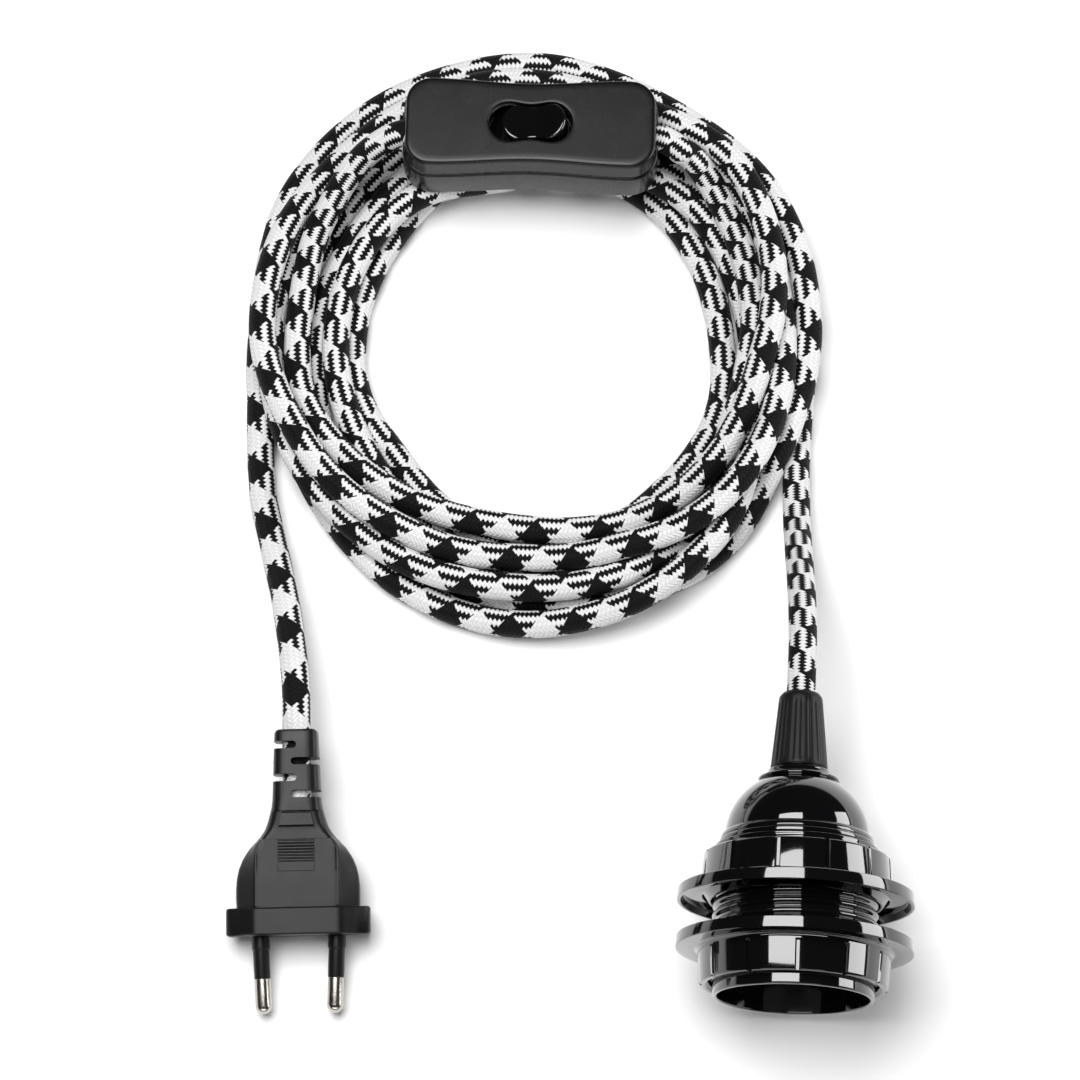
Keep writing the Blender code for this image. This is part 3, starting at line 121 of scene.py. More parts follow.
SEEN = 1.0
HIDDEN = 0.15
PLUG_TURNS = [
    (241, 78.2, 3.6), (247, 75.6, 3.6), (252, 73.6, 3.6), (259, 71.4, 3.6), (271, 70.7, 3.6),
    (285, 72.4, 3.6), (301, 74.0, 3.6, HIDDEN), (330, 75.0, 3.6, HIDDEN), (357, 75.4, 3.6, HIDDEN),
    (394, 75.6, 3.6, HIDDEN), (414, 76.0, 3.6), (426, 73.4, 4.5), (439, 71.0, 7), (449, 69.7, 10.2),
    (462, 68.5, 10.6), (473, 68.0, 8), (483, 67.8, 5), (494, 67.7, 3.6, HIDDEN),
    (508, 67.8, 3.6, HIDDEN), (537, 67.8, 3.6), (567, 65.0, 3.6), (598, 60.4, 3.6),
    (630, 58.0, 3.6), (661, 60.1, 3.6, HIDDEN), (690, 64.5, 3.6, HIDDEN), (717, 66.7, 3.6, HIDDEN),
    (754, 64.0, 3.6, HIDDEN), (784, 63.8, 3.6, HIDDEN), (815, 62.9, 3.6, HIDDEN),
    (828, 63.4, 5, HIDDEN), (839, 64.9, 8.5), (848, 66.6, 10.6), (858, 68.2, 10.6),
    (868, 69.9, 10.2), (880, 71.3, 9.4), (897, 72.3, 9), (917, 70.9, 9.2), (932, 69.1, 9.5),
    (947, 67.4, 8), (963, 66.3, 5, HIDDEN), (979, 65.4, 3.6, HIDDEN), (1000, 65.7, 3.6, HIDDEN),
    (1021, 67.7, 3.6, HIDDEN), (1050, 72.3, 3.6, HIDDEN), (1077, 76.4, 6, HIDDEN),
    (1114, 74.8, 9.6, HIDDEN), (1134, 70.9, 9.6, HIDDEN), (1146, 68.6, 10), (1158, 66.7, 11.5),
    (1172, 64.7, 12.5), (1185, 63.7, 12), (1201, 62.6, 10.6), (1216, 60.1, 9.6), (1232, 57.5, 9.4),
    (1247, 55.9, 9.2), (1257, 54.9, 9.2), (1268, 55.6, 9.4), (1280, 57.3, 10), (1294, 58.7, 11),
    (1309, 61.8, 13), (1323, 63.9, 14.5), (1336, 66.5, 15.5), (1349, 71.1, 15.4),
    (1365, 73.3, 15.4), (1381, 75.1, 15.4), (1410, 78.0, 15.4), (1437, 79.2, 15.4),
    (1474, 77.6, 15.4), (1484, 75.2, 15.4), (1494, 72.1, 15.6), (1504, 68.3, 16),
    (1518, 63.3, 16.5), (1527, 60.0, 16), (1535, 57.5, 15), (1545, 55.9, 13), (1555, 55.3, 11),
    (1574, 53.1, 9.6), (1592, 50.9, 9.2), (1608, 49.0, 9.2), (1617, 47.1, 9.4), (1628, 47.3, 10),
    (1637, 47.7, 10.6), (1647, 49.1, 11.5), (1655, 51.0, 12.5), (1665, 52.9, 13), (1681, 56.7, 12),
    (1693, 60.6, 12), (1708, 63.2, 14), (1726, 65.8, 16), (1741, 68.3, 17.5),
    (1753, 70.5, 20, HIDDEN),
]
HOLDER_TURNS = [
    (34, 70.0, 19.5), (39, 68.4, 17.5), (48, 65.5, 13.5), (58, 62.4, 11), (69, 60.7, 10),
    (79, 58.1, 9.4), (95, 54.9, 9), (111, 54.8, 6.5), (125, 56.4, 4.5, HIDDEN),
    (143, 57.8, 3.6, HIDDEN), (158, 58.7, 3.6), (177, 59.0, 3.6), (197, 57.1, 3.6), (209, 54.6, 5),
    (221, 51.7, 8), (234, 49.2, 9.8), (249, 50.6, 9.2), (262, 51.5, 9), (281, 52.6, 9),
    (302, 54.4, 9), (330, 57.7, 8, HIDDEN), (357, 57.6, 5, HIDDEN), (388, 54.2, 3.6),
    (401, 53.1, 3.6), (417, 52.1, 3.6), (453, 49.5, 3.6), (468, 50.4, 3.6), (485, 51.4, 3.6),
    (502, 51.4, 3.6), (517, 51.5, 3.6), (537, 50.9, 3.6), (557, 49.7, 3.6), (576, 48.6, 3.6),
    (605, 47.6, 3.6), (622, 47.6, 3.6), (641, 48.0, 3.6), (662, 49.5, 3.6),
    (690, 54.0, 3.6, HIDDEN), (717, 58.8, 5, HIDDEN), (754, 59.8, 8), (773, 58.5, 6),
    (789, 57.9, 3.6), (804, 58.1, 3.6), (821, 59.9, 3.6, HIDDEN), (835, 61.8, 5.5, HIDDEN),
    (847, 62.9, 8.5, HIDDEN), (863, 63.0, 9.6), (874, 63.7, 9.3), (885, 63.4, 9.2),
    (897, 63.2, 9.2), (917, 64.3, 9.4), (931, 64.6, 9.6), (944, 65.8, 9.8), (957, 66.9, 9.8),
    (970, 67.7, 9.6), (990, 68.6, 9.6), (1021, 72.1, 9.6), (1050, 76.3, 9, HIDDEN),
    (1077, 77.0, 6, HIDDEN), (1114, 71.4, 3.6, HIDDEN), (1134, 68.9, 3.6, HIDDEN),
    (1152, 67.1, 3.6, HIDDEN), (1167, 67.6, 3.6, HIDDEN), (1175, 68.4, 3.6, HIDDEN),
]

# How the turns settle on the floor and on one another

SOLVE_STEP = 2.4
TOUCH = 7.12
SETTLE_ROUNDS = 420
FAST_ROUNDS = 336
FAST_DROP = 0.06
SLOW_DROP = 0.02
PULL = 0.10
PAIR_MARGIN = 3.0
PAIRS_EVERY = 8
PUSHES = 3
FINE_SPAN = 1
FINE_SHARE = 0.5
WIDE_SPAN = 4
WIDE_SHARE = 0.22
CAMERA_PLACE = np.array(camera.location) / MM
SWITCH_HALF = np.array([33.0, 13.0])
SWITCH_MARGIN = 3.0
UNDER_SWITCH = 3.55
SWITCH_CEILING = SWITCH_MIDDLE[2] - UNDER_SWITCH
LOW_START = 12.0


def turn_matrix(angle, axis):
    return np.array(Matrix.Rotation(angle, 3, axis))


HOLDER_BACK = np.array([0.0, -HOLDER_LENGTH / 2, HOLDER_AXIS_HEIGHT])
SWITCH_AXES = turn_matrix(SWITCH_TURN, "Z")
PLUG_AXES = turn_matrix(PLUG_TURN, "Z") @ turn_matrix(PLUG_PITCH, "X")


def in_switch(point):
    return SWITCH_MIDDLE + SWITCH_AXES @ np.array(point)


def in_plug(point):
    return PLUG_FACE + PLUG_AXES @ np.array(point)


def in_holder(station):
    return HOLDER_BACK + np.array([0.0, station, 0.0])


def on_floor(angle, radius):
    turn = math.radians(angle)
    return COIL_CENTRE + radius * np.array([math.sin(turn), math.cos(turn)])


def turn_rows(turns):
    rows = []
    for angle, radius, height, *hold in turns:
        rows.append((*on_floor(angle, radius), height, hold[0] if hold else SEEN))
    return rows


def tail_rows(points):
    """Rows of the same kind for points that keep their own place."""
    rows = []
    for x, y, z in points:
        rise = z / (CAMERA_PLACE[2] - z)
        rows.append((x + (x - CAMERA_PLACE[0]) * rise, y + (y - CAMERA_PLACE[1]) * rise, z, SEEN))
    return rows


def seen_from(floor, height):
    """Where a strand at this height lies when the camera sees it over a place on the floor."""
    return floor + (CAMERA_PLACE[:2] - floor) * (height / CAMERA_PLACE[2])[:, None]


def even_line(line, step):
    walked = np.linalg.norm(np.diff(line[:, :3], axis=0), axis=1)
    length = np.concatenate([[0.0], np.cumsum(walked)])
    count = max(2, int(round(length[-1] / step)) + 1)
    at = np.linspace(0.0, length[-1], count)
    return np.stack([np.interp(at, length, line[:, k]) for k in range(line.shape[1])], axis=1)


def smooth_line(points, step, parts=16):
    """Rows an even step apart on a Catmull-Rom curve through the given rows."""
    points = np.array(points, float)
    ends = np.vstack([2 * points[0] - points[1], points, 2 * points[-1] - points[-2]])
    dense = []
    for before, start, end, after in zip(ends, ends[1:], ends[2:], ends[3:]):
        for t in np.linspace(0.0, 1.0, parts, endpoint=False):
            dense.append(0.5 * (
                2 * start
                + (end - before) * t
                + (2 * before - 5 * start + 4 * end - after) * t * t
                + (3 * start - before - 3 * end + after) * t ** 3
            ))
    return even_line(np.array(dense + [points[-1]]), step)


def close_pairs(points, reach, skip=8, block=200):
    pairs = []
    for start in range(0, len(points), block):
        part = points[start:start + block]
        far = np.linalg.norm(part[:, None] - points[None], axis=2)
        i, j = np.nonzero(far < reach)
        i = i + start
        keep = j - i > skip
        pairs.append(np.stack([i[keep], j[keep]], axis=1))
    return np.concatenate(pairs)


def push_apart(points, pairs, fixed):
    """Moves each two strands that are nearer than a diameter away from each other."""
    gap = points[pairs[:, 1]] - points[pairs[:, 0]]
    far = np.linalg.norm(gap, axis=1)
    near = far < TOUCH
    i = pairs[near, 0]
    j = pairs[near, 1]
    push = gap[near] / np.maximum(far[near], 1e-6)[:, None] * (TOUCH - far[near])[:, None]
    share = np.where(fixed[j], 1.0, np.where(fixed[i], 0.0, 0.5))[:, None]
    move = np.zeros_like(points)
    count = np.zeros(len(points))
    np.add.at(move, i, -push * share)
    np.add.at(move, j, push * (1 - share))
    np.add.at(count, i, 1)
    np.add.at(count, j, 1)
    move[fixed] = 0
    points += move / np.maximum(np.sqrt(count), 1)[:, None]


def evened(points, span):
    """Each point where the curve through its neighbours at one and two spans would have it."""
    even = points.copy()
    near = points[span:-3 * span] + points[3 * span:-span]
    even[2 * span:-2 * span] = (4 * near - points[:-4 * span] - points[4 * span:]) / 6
    return even


def within_chain(chain, span):
    """Which points have neighbours of their own cord two spans away on both sides."""
    within = np.zeros(len(chain), bool)
    within[2 * span:-2 * span] = chain[4 * span:] == chain[:-4 * span]
    return within


def settle(rows, fixed, chain):
    """Lays the strands on the floor and on one another, each near the place it is seen at."""
    wanted = rows[:, :2]
    hold = rows[:, 3]
    points = np.column_stack([seen_from(wanted, rows[:, 2]), rows[:, 2]])
    low_start = rows[:, 2] < LOW_START
    free = ~fixed
    fine = within_chain(chain, FINE_SPAN) & free
    wide = within_chain(chain, WIDE_SPAN) & free
    for turn in range(SETTLE_ROUNDS):
        target = seen_from(wanted, points[:, 2])
        points[free, :2] += (PULL * hold[:, None] * (target - points[:, :2]))[free]
        points[free, 2] -= FAST_DROP if turn < FAST_ROUNDS else SLOW_DROP
        points[fine] += FINE_SHARE * (evened(points, FINE_SPAN) - points)[fine]
        points[wide] += WIDE_SHARE * (evened(points, WIDE_SPAN) - points)[wide]
        if turn % PAIRS_EVERY == 0:
            pairs = close_pairs(points, TOUCH + PAIR_MARGIN)
        for _ in range(PUSHES):
            push_apart(points, pairs, fixed)
            points[free, 2] = np.maximum(points[free, 2], CORD_RADIUS)
            local = np.abs(points[:, :2] - SWITCH_MIDDLE[:2]) < SWITCH_HALF + SWITCH_MARGIN
            under = local.all(axis=1) & free & low_start
            points[under, 2] = np.minimum(points[under, 2], SWITCH_CEILING)
    return points


SHEATH_STATION = HOLDER_LENGTH
for depth in CORD_IN_HOLDER:
    SHEATH_STATION -= depth
SWITCH_INSIDE = SWITCH_LENGTH / 2 - SHEATH_IN_SWITCH

plug_rows = tail_rows([
    in_plug((0.0, RELIEF_LENGTH - CORD_IN_PLUG, 0.0)),
    in_plug((0.0, RELIEF_LENGTH - CORD_IN_PLUG / 2, 0.0)),
    in_plug((0.0, RELIEF_LENGTH, 0.0)),
] + PLUG_TAIL_ROUTE)
left_rows = tail_rows(LEFT_ENTRY_ROUTE[::-1] + [
    in_switch((-SWITCH_LENGTH / 2, 0.0, CORD_LEVEL)),
    in_switch((-SWITCH_INSIDE, 0.0, CORD_LEVEL)),
])
right_rows = tail_rows([
    in_switch((SWITCH_INSIDE, 0.0, CORD_LEVEL)),
    in_switch((SWITCH_LENGTH / 2, 0.0, CORD_LEVEL)),
] + RIGHT_ENTRY_ROUTE)
holder_rows = tail_rows(HOLDER_TAIL_ROUTE[::-1] + [
    in_holder(HOLDER_LENGTH),
    in_holder((SHEATH_STATION + HOLDER_LENGTH) / 2),
    in_holder(SHEATH_STATION),
])
plug_line = smooth_line(plug_rows + turn_rows(PLUG_TURNS) + left_rows, SOLVE_STEP)
holder_line = smooth_line(right_rows + turn_rows(HOLDER_TURNS) + holder_rows, SOLVE_STEP)
all_rows = np.vstack([plug_line, holder_line])
split = len(plug_line)
chain = np.array([0] * split + [1] * len(holder_line))
order = np.arange(len(all_rows))
FIXED_PLUG = 36
FIXED_SWITCH = 9
FIXED_HOLDER = 40
fixed = order < FIXED_PLUG
fixed |= (order >= split - FIXED_SWITCH) & (order < split + FIXED_SWITCH)
fixed |= order >= len(order) - FIXED_HOLDER
settled = settle(all_rows, fixed, chain)

RING_STEP = 1.0
RING_SIDES = 24
BRAID_REPEAT = 16.2
BRAID_ROLL = 0.93
TAIL_ROLL = 0.77
TAIL_ROLL_END = 160.0
TIGHT_REPEAT = 11.4
TIGHT_AT_SWITCH = 55.0
TIGHT_AT_HOLDER = 105.0
TIGHT_FADE = 25.0


def cord_frames(line):
    """A direction across the cord at each point, carried along without twisting."""
    along = np.gradient(line, axis=0)
    along /= np.linalg.norm(along, axis=1)[:, None]
    across = np.zeros_like(line)
    first = np.cross(along[0], (0.0, 0.0, 1.0))
    across[0] = first / np.linalg.norm(first)
    for index in range(1, len(line)):
        carried = across[index - 1] - along[index] * (across[index - 1] @ along[index])
        across[index] = carried / np.linalg.norm(carried)
    return along, across, np.cross(along, across)


def braid_phase(line, tight):
    """How many repeats of the braid have gone by; it is pushed together on tight stretches."""
    walked = np.linalg.norm(np.diff(line, axis=0), axis=1)
    length = np.concatenate([[0.0], np.cumsum(walked)])
    share = np.zeros(len(line))
    for start, end, fade in tight:
        low = np.clip((length - start) / fade + 1, 0.0, 1.0)
        high = np.clip((end - length) / fade + 1, 0.0, 1.0)
        share = np.maximum(share, low * high)
    rate = 1 / (BRAID_REPEAT + (TIGHT_REPEAT - BRAID_REPEAT) * share)
    middle = (rate[1:] + rate[:-1]) / 2
    return np.concatenate([[0.0], np.cumsum(middle * walked)]), length[-1]


def cord_mesh(name, line, tight, roll_at):
    line = smooth_line(line, RING_STEP, parts=4)
    steps = np.linalg.norm(np.diff(line, axis=0), axis=1)
    phase, length = braid_phase(line, tight(steps.sum()))
    roll = np.interp(np.concatenate([[0.0], np.cumsum(steps)]), *roll_at)
    along, across, upward = cord_frames(line)
    turns = np.arange(RING_SIDES) / RING_SIDES
    cosine = np.cos(2 * np.pi * turns)[None, :, None]
    sine = np.sin(2 * np.pi * turns)[None, :, None]
    rings = line[:, None] + CORD_RADIUS * (across[:, None] * cosine + upward[:, None] * sine)
    count = len(line)
    vertices = rings.reshape(-1, 3) * MM
    ring = np.arange(count - 1)[:, None] * RING_SIDES
    side = np.arange(RING_SIDES)[None]
    after = (side + 1) % RING_SIDES
    following = ring + RING_SIDES
    quads = np.stack([ring + side, ring + after, following + after, following + side], axis=2)
    faces = quads.reshape(-1, 4).tolist()
    faces.append(list(range(RING_SIDES))[::-1])
    faces.append(list(range((count - 1) * RING_SIDES, count * RING_SIDES)))
    mesh = bpy.data.meshes.new(name)
    mesh.from_pydata(vertices.tolist(), [], faces)
    start = turns[None] + roll[:-1, None]
    end = turns[None] + roll[1:, None]
    after_turn = 1 / RING_SIDES
    v = np.stack([phase[:-1], phase[:-1], phase[1:], phase[1:]], axis=1)
    places = np.zeros((count - 1, RING_SIDES, 4, 2))
    places[..., 0] = np.stack([start, start + after_turn, end + after_turn, end], axis=2)
    places[..., 1] = v[:, None]
    flat = np.concatenate([places.reshape(-1), np.zeros(RING_SIDES * 4)])
    layer = mesh.uv_layers.new(name="braid")
    layer.data.foreach_set("uv", flat)
    mesh.shade_smooth()
    return add_object(name, mesh), line, length


cord_plug, plug_path, plug_length = cord_mesh(
    "cord_plug_to_switch",
    settled[chain == 0],
    lambda total: [(total - TIGHT_AT_SWITCH, total, TIGHT_FADE)],
    ((0.0, TAIL_ROLL_END), (TAIL_ROLL, BRAID_ROLL)),
)
cord_holder, holder_path, holder_length = cord_mesh(
    "cord_switch_to_holder",
    settled[chain == 1],
    lambda total: [
        (0.0, TIGHT_AT_SWITCH, TIGHT_FADE), (total - TIGHT_AT_HOLDER, total, TIGHT_FADE),
    ],
    ((0.0,), (BRAID_ROLL,)),
)
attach(cord_plug, "base")
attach(cord_holder, "base")
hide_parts("cord_to_plug", "cord_switch_left", "cord_coil")
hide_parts("cord_to_holder", "cord_switch_right", "cord_coil")

# Materials

COLOUR_MIX_INPUTS = (0, 6, 7)
COLOUR_MIX_OUTPUT = 2


class Nodes:
    """A short way to write a material's nodes."""

    def __init__(self, name):
        self.material = bpy.data.materials.new(name)
        self.material.use_nodes = True
        self.tree = self.material.node_tree
        self.shader = self.tree.nodes["Principled BSDF"]

    def put(self, socket, value):
        if isinstance(value, bpy.types.NodeSocket):
            self.tree.links.new(value, socket)
        else:
            socket.default_value = value

    def shade(self, name, value):
        self.put(self.shader.inputs[name], value)

    def math(self, operation, *values):
        node = self.tree.nodes.new("ShaderNodeMath")
        node.operation = operation
        for socket, value in zip(node.inputs, values):
            self.put(socket, value)
        return node.outputs[0]

    def mix(self, share, first, second):
        node = self.tree.nodes.new("ShaderNodeMix")
        node.data_type = "RGBA"
        for index, value in zip(COLOUR_MIX_INPUTS, (share, first, second)):
            self.put(node.inputs[index], value)
        return node.outputs[COLOUR_MIX_OUTPUT]

    def noise(self, scale, detail=3.0):
        node = self.tree.nodes.new("ShaderNodeTexNoise")
        node.inputs["Scale"].default_value = scale
        node.inputs["Detail"].default_value = detail
        place = self.tree.nodes.new("ShaderNodeTexCoord")
        self.put(node.inputs["Vector"], place.outputs["Object"])
        return node.outputs[0]

    def between(self, value, low, high):
        node = self.tree.nodes.new("ShaderNodeMapRange")
        self.put(node.inputs[0], value)
        node.inputs[3].default_value = low
        node.inputs[4].default_value = high
        return node.outputs[0]

    def bump(self, height, distance):
        node = self.tree.nodes.new("ShaderNodeBump")
        node.inputs["Strength"].default_value = 1.0
        node.inputs["Distance"].default_value = distance
        self.put(node.inputs["Height"], height)
        self.shade("Normal", node.outputs[0])


BRAID_COLUMNS = 14.0
TOOTH_SIZE = 0.26
FIBRE_SCALE = 2600.0
BRAID_HEIGHT = 0.00016
# Painted shade: the yarn colour is scaled from VALLEY_SHADE in the valleys between floats up to
# VALLEY_SHADE + RIDGE_SHADE on their tops.
VALLEY_SHADE = 0.80
RIDGE_SHADE = 0.22
WHITE_YARN = (0.78, 0.78, 0.78, 1.0)
BLACK_YARN = (0.004, 0.004, 0.0045, 1.0)


def braid_material():
    """Black and white yarns crossing round the cord, each stitch a slanted float, with painted shade
    darkening the valleys between the floats.
    """
    nodes = Nodes("houndstooth_braid")
    place = nodes.tree.nodes.new("ShaderNodeUVMap")
    place.uv_map = "braid"
    split_place = nodes.tree.nodes.new("ShaderNodeSeparateXYZ")
    nodes.put(split_place.inputs[0], place.outputs[0])
    calc = nodes.math

    def twice(value):
        return calc("MULTIPLY", value, 2.0)

    def one_less(value):
        return calc("SUBTRACT", 1.0, value)

    def rounded(value, power):
        signed = calc("SUBTRACT", twice(value), 1.0)
        return one_less(calc("POWER", calc("ABSOLUTE", signed), power))

    around = calc("MULTIPLY", split_place.outputs[0], BRAID_COLUMNS)
    along_cord = calc("MULTIPLY", split_place.outputs[1], BRAID_COLUMNS)
    stitch = calc("ABSOLUTE", calc("SUBTRACT", calc("FRACT", along_cord), 0.5))
    tooth = one_less(calc("MULTIPLY", stitch, 4.0))
    border = calc("MODULO", calc("ROUND", around), 2.0)
    lean = calc("MULTIPLY", one_less(twice(border)), TOOTH_SIZE)
    toothed = calc("SUBTRACT", around, calc("MULTIPLY", lean, tooth))
    column = calc("FLOOR", toothed)
    in_column = calc("SUBTRACT", toothed, column)
    slant = one_less(twice(calc("MODULO", column, 2.0)))
    yarn = calc("ADD", along_cord, calc("MULTIPLY", slant, around))
    number = calc("FLOOR", yarn)
    in_yarn = calc("SUBTRACT", yarn, number)
    share = calc("FRACT", calc("DIVIDE", calc("ADD", number, 0.5), BRAID_COLUMNS))
    dark = calc("LESS_THAN", share, 0.5)
    height = calc("MULTIPLY", rounded(in_yarn, 2.0), rounded(in_column, 4.0))
    fibres = nodes.noise(FIBRE_SCALE, 2.0)
    # Painted shade: the colour is darker where a float dips into the valleys and edges between floats,
    # times a random fibre tone.
    ridge = calc("SQRT", calc("MAXIMUM", height, 0.0))
    shade = calc("MULTIPLY_ADD", ridge, RIDGE_SHADE, VALLEY_SHADE)
    painted_shade_and_fibre_tone = calc("MULTIPLY", shade, nodes.between(fibres, 0.88, 1.1))
    colour = nodes.mix(dark, WHITE_YARN, BLACK_YARN)
    nodes.shade("Base Color", nodes.mix(painted_shade_and_fibre_tone, (0.0, 0.0, 0.0, 1.0), colour))
    nodes.shade("Roughness", calc("MULTIPLY_ADD", fibres, 0.2, 0.5))
    nodes.shade("Specular IOR Level", 0.12)
    nodes.shade("Sheen Weight", 0.02)
    nodes.shade("Sheen Roughness", 0.4)
    nodes.bump(calc("MULTIPLY_ADD", fibres, 0.15, height), BRAID_HEIGHT)
    return nodes.material


def plastic(name, colour, roughness, grain=0.00001, grain_scale=3500.0, coat=0.0, specular=0.5):
    nodes = Nodes(name)
    cloud = nodes.noise(60.0)
    fine = nodes.noise(grain_scale, 2.0)
    dark = tuple(part * 0.85 for part in colour)
    nodes.shade("Base Color", nodes.mix(cloud, (*dark, 1.0), (*colour, 1.0)))
    spread = nodes.between(nodes.noise(180.0), roughness * 0.85, roughness * 1.15)
    nodes.shade("Roughness", spread)
    nodes.shade("Coat Weight", coat)
    nodes.shade("Coat Roughness", 0.03)
    nodes.shade("Specular IOR Level", specular)
    nodes.bump(fine, grain)
    return nodes.material


def metal(name, colour, roughness, grain=0.000008):
    nodes = Nodes(name)
    cloud = nodes.noise(90.0)
    dull = tuple(part * 0.82 for part in colour)
    nodes.shade("Base Color", nodes.mix(cloud, (*dull, 1.0), (*colour, 1.0)))
    nodes.shade("Metallic", 1.0)
    spread = nodes.between(nodes.noise(400.0), roughness * 0.8, roughness * 1.3)
    nodes.shade("Roughness", spread)
    nodes.bump(nodes.noise(1800.0, 2.0), grain)
    return nodes.material


SATIN = (0.006, 0.006, 0.0065)
MATERIALS = {
    "textile": braid_material(),
    "gloss_black": plastic("holder_gloss_black", (0.0035, 0.0035, 0.004), 0.06, 0.0000012, 900.0, 0.9),
    "matt_black": plastic("grip_matt_black", (0.007, 0.007, 0.007), 0.42, specular=0.2),
    "satin_black": plastic("switch_satin_black", SATIN, 0.27, 0.000010, 3200.0, specular=0.30),
    "rubber_black": plastic("plug_rubber_black", SATIN, 0.36, 0.000016, 2400.0, specular=0.27),
    "carrier_white": plastic("carrier_white", (0.78, 0.76, 0.70), 0.45),
    "brown_wire": plastic("brown_wire", (0.20, 0.08, 0.03), 0.5),
    "blue_wire": plastic("blue_wire", (0.03, 0.12, 0.45), 0.5),
    "brass": metal("brass", (0.72, 0.52, 0.24), 0.3),
    "nickel": metal("pin_nickel", (0.60, 0.57, 0.52), 0.24),
    "steel": metal("zinc_steel", (0.62, 0.62, 0.64), 0.32),
}
for row in frame["record"]["subparts"]:
    node = frame["nodes"][row["node"]]
    for slot in node.material_slots:
        slot.material = MATERIALS[row["material_slot"]]
for cord in (cord_plug, cord_holder):
    cord.data.materials.append(MATERIALS["textile"])

# Shape tools


def eased(points, steps=3):
    """A closed outline whose corners are rounded by the third value of each point."""
    done = []
    for index, (first, second, size) in enumerate(points):
        here = np.array((first, second))
        if not size:
            done.append(here)
            continue
        before = np.array(points[index - 1][:2]) - here
        after = np.array(points[(index + 1) % len(points)][:2]) - here
        start = here + before * min(size / np.linalg.norm(before), 0.48)
        end = here + after * min(size / np.linalg.norm(after), 0.48)
        for t in np.linspace(0.0, 1.0, steps + 1):
            done.append((1 - t) ** 2 * start + 2 * t * (1 - t) * here + t * t * end)
    return np.array(done)


def finer(points, radius, step):
    """Adds rows to the runs of a profile that lie at one radius, for a thread."""
    done = []
    for here, after in zip(points, np.roll(points, -1, axis=0)):
        done.append(here)
        if abs(here[0] - radius) < 1e-6 and abs(after[0] - radius) < 1e-6:
            count = int(np.linalg.norm(after - here) / step)
            for index in range(1, count):
                done.append(here + (after - here) * index / count)
    return np.array(done)


def lofted(loops, closed):
    """A skin over loops of equal count, joined end to end or capped at both ends."""
    loops = np.array(loops)
    rows, columns = loops.shape[:2]
    index = np.arange(rows * columns).reshape(rows, columns)
    row = index if closed else index[:-1]
    following = np.roll(index, -1, axis=0) if closed else index[1:]
    corners = [row, np.roll(row, -1, axis=1), np.roll(following, -1, axis=1), following]
    faces = np.stack(corners, axis=2).reshape(-1, 4).tolist()
    if not closed:
        faces += [index[0, ::-1].tolist(), index[-1].tolist()]
    return loops.reshape(-1, 3), faces


def bare(name, shape, place):
    """An object from placed points in millimetres, with its faces turned outwards."""
    vertices, faces = shape
    mesh = bpy.data.meshes.new(name)
    mesh.from_pydata((place(vertices) * MM).tolist(), [], faces)
    edit = bmesh.new()
    edit.from_mesh(mesh)
    bmesh.ops.recalc_face_normals(edit, faces=edit.faces)
    edit.to_mesh(mesh)
    edit.free()
    return add_object(name, mesh)


def carve(made, cutter):
    """Cuts one object with another, and removes the cutter."""
    step = made.modifiers.new("cut", "BOOLEAN")
    step.operation = "DIFFERENCE"
    step.solver = "EXACT"
    step.object = cutter
    seen = bpy.context.evaluated_depsgraph_get()
    mesh = bpy.data.meshes.new_from_object(made.evaluated_get(seen))
    made.modifiers.clear()
    made.data = mesh
    bpy.data.objects.remove(cutter)


def finish_piece(made, body, slot, nodes, sharp=32.0):
    made.data.shade_smooth()
    made.data.set_sharp_from_angle(angle=math.radians(sharp))
    made.data.materials.clear()
    made.data.materials.append(MATERIALS[slot])
    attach(made, body)
    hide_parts(*nodes)


def holder_place(vertices):
    return vertices + HOLDER_BACK


def switch_place(vertices):
    return SWITCH_MIDDLE + vertices @ SWITCH_AXES.T


def plug_place(vertices):
    return PLUG_FACE + vertices @ PLUG_AXES.T


def turned_loops(profile, angles, extra=None):
    """Rings round the holder's axis; extra adds to the radius of each point."""
    radius = np.repeat(profile[:, :1], len(angles), axis=1)
    station = np.repeat(profile[:, 1:], len(angles), axis=1)
    turn = np.repeat(angles[None], len(profile), axis=0)
    if extra is not None:
        radius = radius + extra(radius, station, turn)
    return np.stack([radius * np.sin(turn), station, radius * np.cos(turn)], axis=2)


def even_angles(count):
    return np.arange(count) * 2 * np.pi / count


def along_between(value, low, high):
    return np.clip((value - low) / (high - low), 0.0, 1.0)


# Lamp holder

TURNED_SIDES = 144
SKIRT_LENGTH = 36.4
SKIRT_RADIUS = 19.9
SKIRT_WALL = 1.7
NOSE_RADIUS = 19.3
NOSE_LENGTH = 3.4
MOUTH_RADIUS = 18.2
MOUTH_DEPTH = 8.6
SLEEVE_BORE = 13.7
SLEEVE_WALL = 1.4
SLEEVE_TOP = SKIRT_LENGTH - 3.4
WEB_TOP = MOUTH_DEPTH + 2.2
THREAD_PITCH = 2.5
THREAD_DEPTH = 0.95
LAMP_PITCH = 3.63
LAMP_DEPTH = 0.95
FLANGE_RADIUS = 28.5
FLANGE_THICKNESS = 2.9
DISH = 1.7
RING_HEIGHT = 11.6
COLLAR_TIP = 22.5
COLLAR_ROOT = 23.1
RING_BORE = 20.25
GROOVE_DEPTH = 0.75
GROOVE_HALF = math.radians(1.35)
GROOVE_EDGE = math.radians(0.45)
SECTOR = math.radians(30.0)
UPPER_RING = 22.9
LOWER_RING = 14.2
UPPER_GROOVE = math.radians(15.0)
LOWER_GROOVE = math.radians(-1.5)


